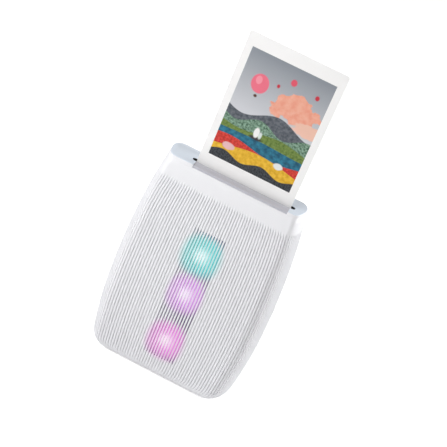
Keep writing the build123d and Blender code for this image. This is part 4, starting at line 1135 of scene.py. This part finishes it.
class PRINTER_OT_studio(Operator):
    """Paper floor, soft lights and the camera at the photograph's angle"""

    bl_idname = "photo_printer.studio"
    bl_label = "Studio"

    def execute(self, context):
        studio = context.scene.photo_studio
        scene = context.scene
        scene.view_settings.view_transform = "Standard"
        work = bmesh.new()
        bmesh.ops.create_grid(work, x_segments=8, y_segments=8, size=FLOOR_REACH / MM)
        floor = finish_mesh(work, "paper_floor")
        floor.data.materials.append(paper_floor("matt_white_paper", studio.floor))

        world = bpy.data.worlds.new("studio_room")
        scene.world = world
        world.use_nodes = True
        tree = world.node_tree
        room = tree.nodes["Background"]
        # white where the camera, a reflection or a clear part looks at it; dimmer where it lights the part
        seen = add_node(tree, "LightPath").outputs
        direct = calculate(tree, "MAXIMUM", seen["Is Camera Ray"], seen["Is Glossy Ray"])
        looked_at = calculate(tree, "MAXIMUM", direct, seen["Is Transmission Ray"])
        strength = between(tree, looked_at, studio.room_light, 1.0)
        feed(tree, room, {"Color": (1, 1, 1, 1), "Strength": strength})

        for name, place_m, size, power in LIGHTS:
            self.add_light(name, place_m, size, getattr(studio, power))
        self.aim_camera(scene)
        return {"FINISHED"}

    def add_light(self, name, place_m, size, power):
        """A square soft light that faces the middle of the printer."""
        lamp = bpy.data.lights.new(name, "AREA")
        lamp.size = size
        lamp.energy = power
        light = bpy.data.objects.new(name, lamp)
        light.location = place_m
        light.rotation_mode = "QUATERNION"
        light.rotation_quaternion = (LIT_PLACE - Vector(place_m)).to_track_quat("-Z", "Y")
        bpy.context.scene.collection.objects.link(light)

    def aim_camera(self, scene):
        """Long-lens camera above and a little right of the front, rolled so that the printer leans right."""
        aside = Vector((cos(CAMERA_TURN), sin(CAMERA_TURN), 0))
        away = Vector((sin(CAMERA_TURN), -cos(CAMERA_TURN), 0))
        back = away * cos(CAMERA_RISE) + Vector((0, 0, sin(CAMERA_RISE)))
        above = back.cross(aside)
        right = aside * cos(CAMERA_ROLL) + above * sin(CAMERA_ROLL)
        up = above * cos(CAMERA_ROLL) - aside * sin(CAMERA_ROLL)
        # turned a little off the target, so that the target stands where it does in the photograph
        across, down = (pixel - PHOTO_WIDTH / 2 for pixel in TARGET_PIXEL)
        seen = (right * across - up * down - back * FOCAL_PIXELS).normalized()
        turn_on = seen.rotation_difference(-back).to_matrix()
        axes = [turn_on @ axis for axis in (right, up, back)]
        lens = bpy.data.cameras.new("photo_camera")
        lens.sensor_width = SENSOR_WIDTH
        lens.lens = FOCAL_PIXELS / PHOTO_WIDTH * SENSOR_WIDTH
        lens.clip_start = 0.01
        camera = bpy.data.objects.new("photo_camera", lens)
        matrix = Matrix(axes).transposed().to_4x4()
        matrix.translation = TARGET + back * CAMERA_DISTANCE
        camera.matrix_world = matrix
        scene.collection.objects.link(camera)
        scene.camera = camera


class PRINTER_PT_panel(Panel):
    """Sizes, colours and steps of the photo printer"""

    bl_idname = "PRINTER_PT_panel"
    bl_label = "Photo Printer"
    bl_space_type = "VIEW_3D"
    bl_region_type = "UI"
    bl_category = "Photo Printer"

    def draw(self, context):
        for group in (context.scene.photo_printer, context.scene.photo_studio):
            for name in group.__annotations__:
                self.layout.prop(group, name)
        for step in STEPS:
            self.layout.operator(step.bl_idname)


STEPS = (
    PRINTER_OT_studio,
    PRINTER_OT_front_cover,
    PRINTER_OT_cover_fittings,
    PRINTER_OT_rear_cover,
    PRINTER_OT_film_door,
    PRINTER_OT_top_cap,
    PRINTER_OT_slot_lip,
    PRINTER_OT_finishes,
)
CLASSES = (HousingSettings, StudioSettings, *STEPS, PRINTER_PT_panel)


def register():
    for item in CLASSES:
        bpy.utils.register_class(item)
    bpy.types.Scene.photo_printer = PointerProperty(type=HousingSettings)
    bpy.types.Scene.photo_studio = PointerProperty(type=StudioSettings)


def unregister():
    del bpy.types.Scene.photo_studio
    del bpy.types.Scene.photo_printer
    for item in reversed(CLASSES):
        bpy.utils.unregister_class(item)


def main():
    register()
    bpy.ops.photo_printer.studio()
    bpy.ops.photo_printer.front_cover()
    bpy.ops.photo_printer.cover_fittings()
    bpy.ops.photo_printer.rear_cover()
    bpy.ops.photo_printer.film_door()
    bpy.ops.photo_printer.top_cap()
    bpy.ops.photo_printer.slot_lip()
    bpy.ops.photo_printer.finishes()


if __name__ == "__main__":
    main()
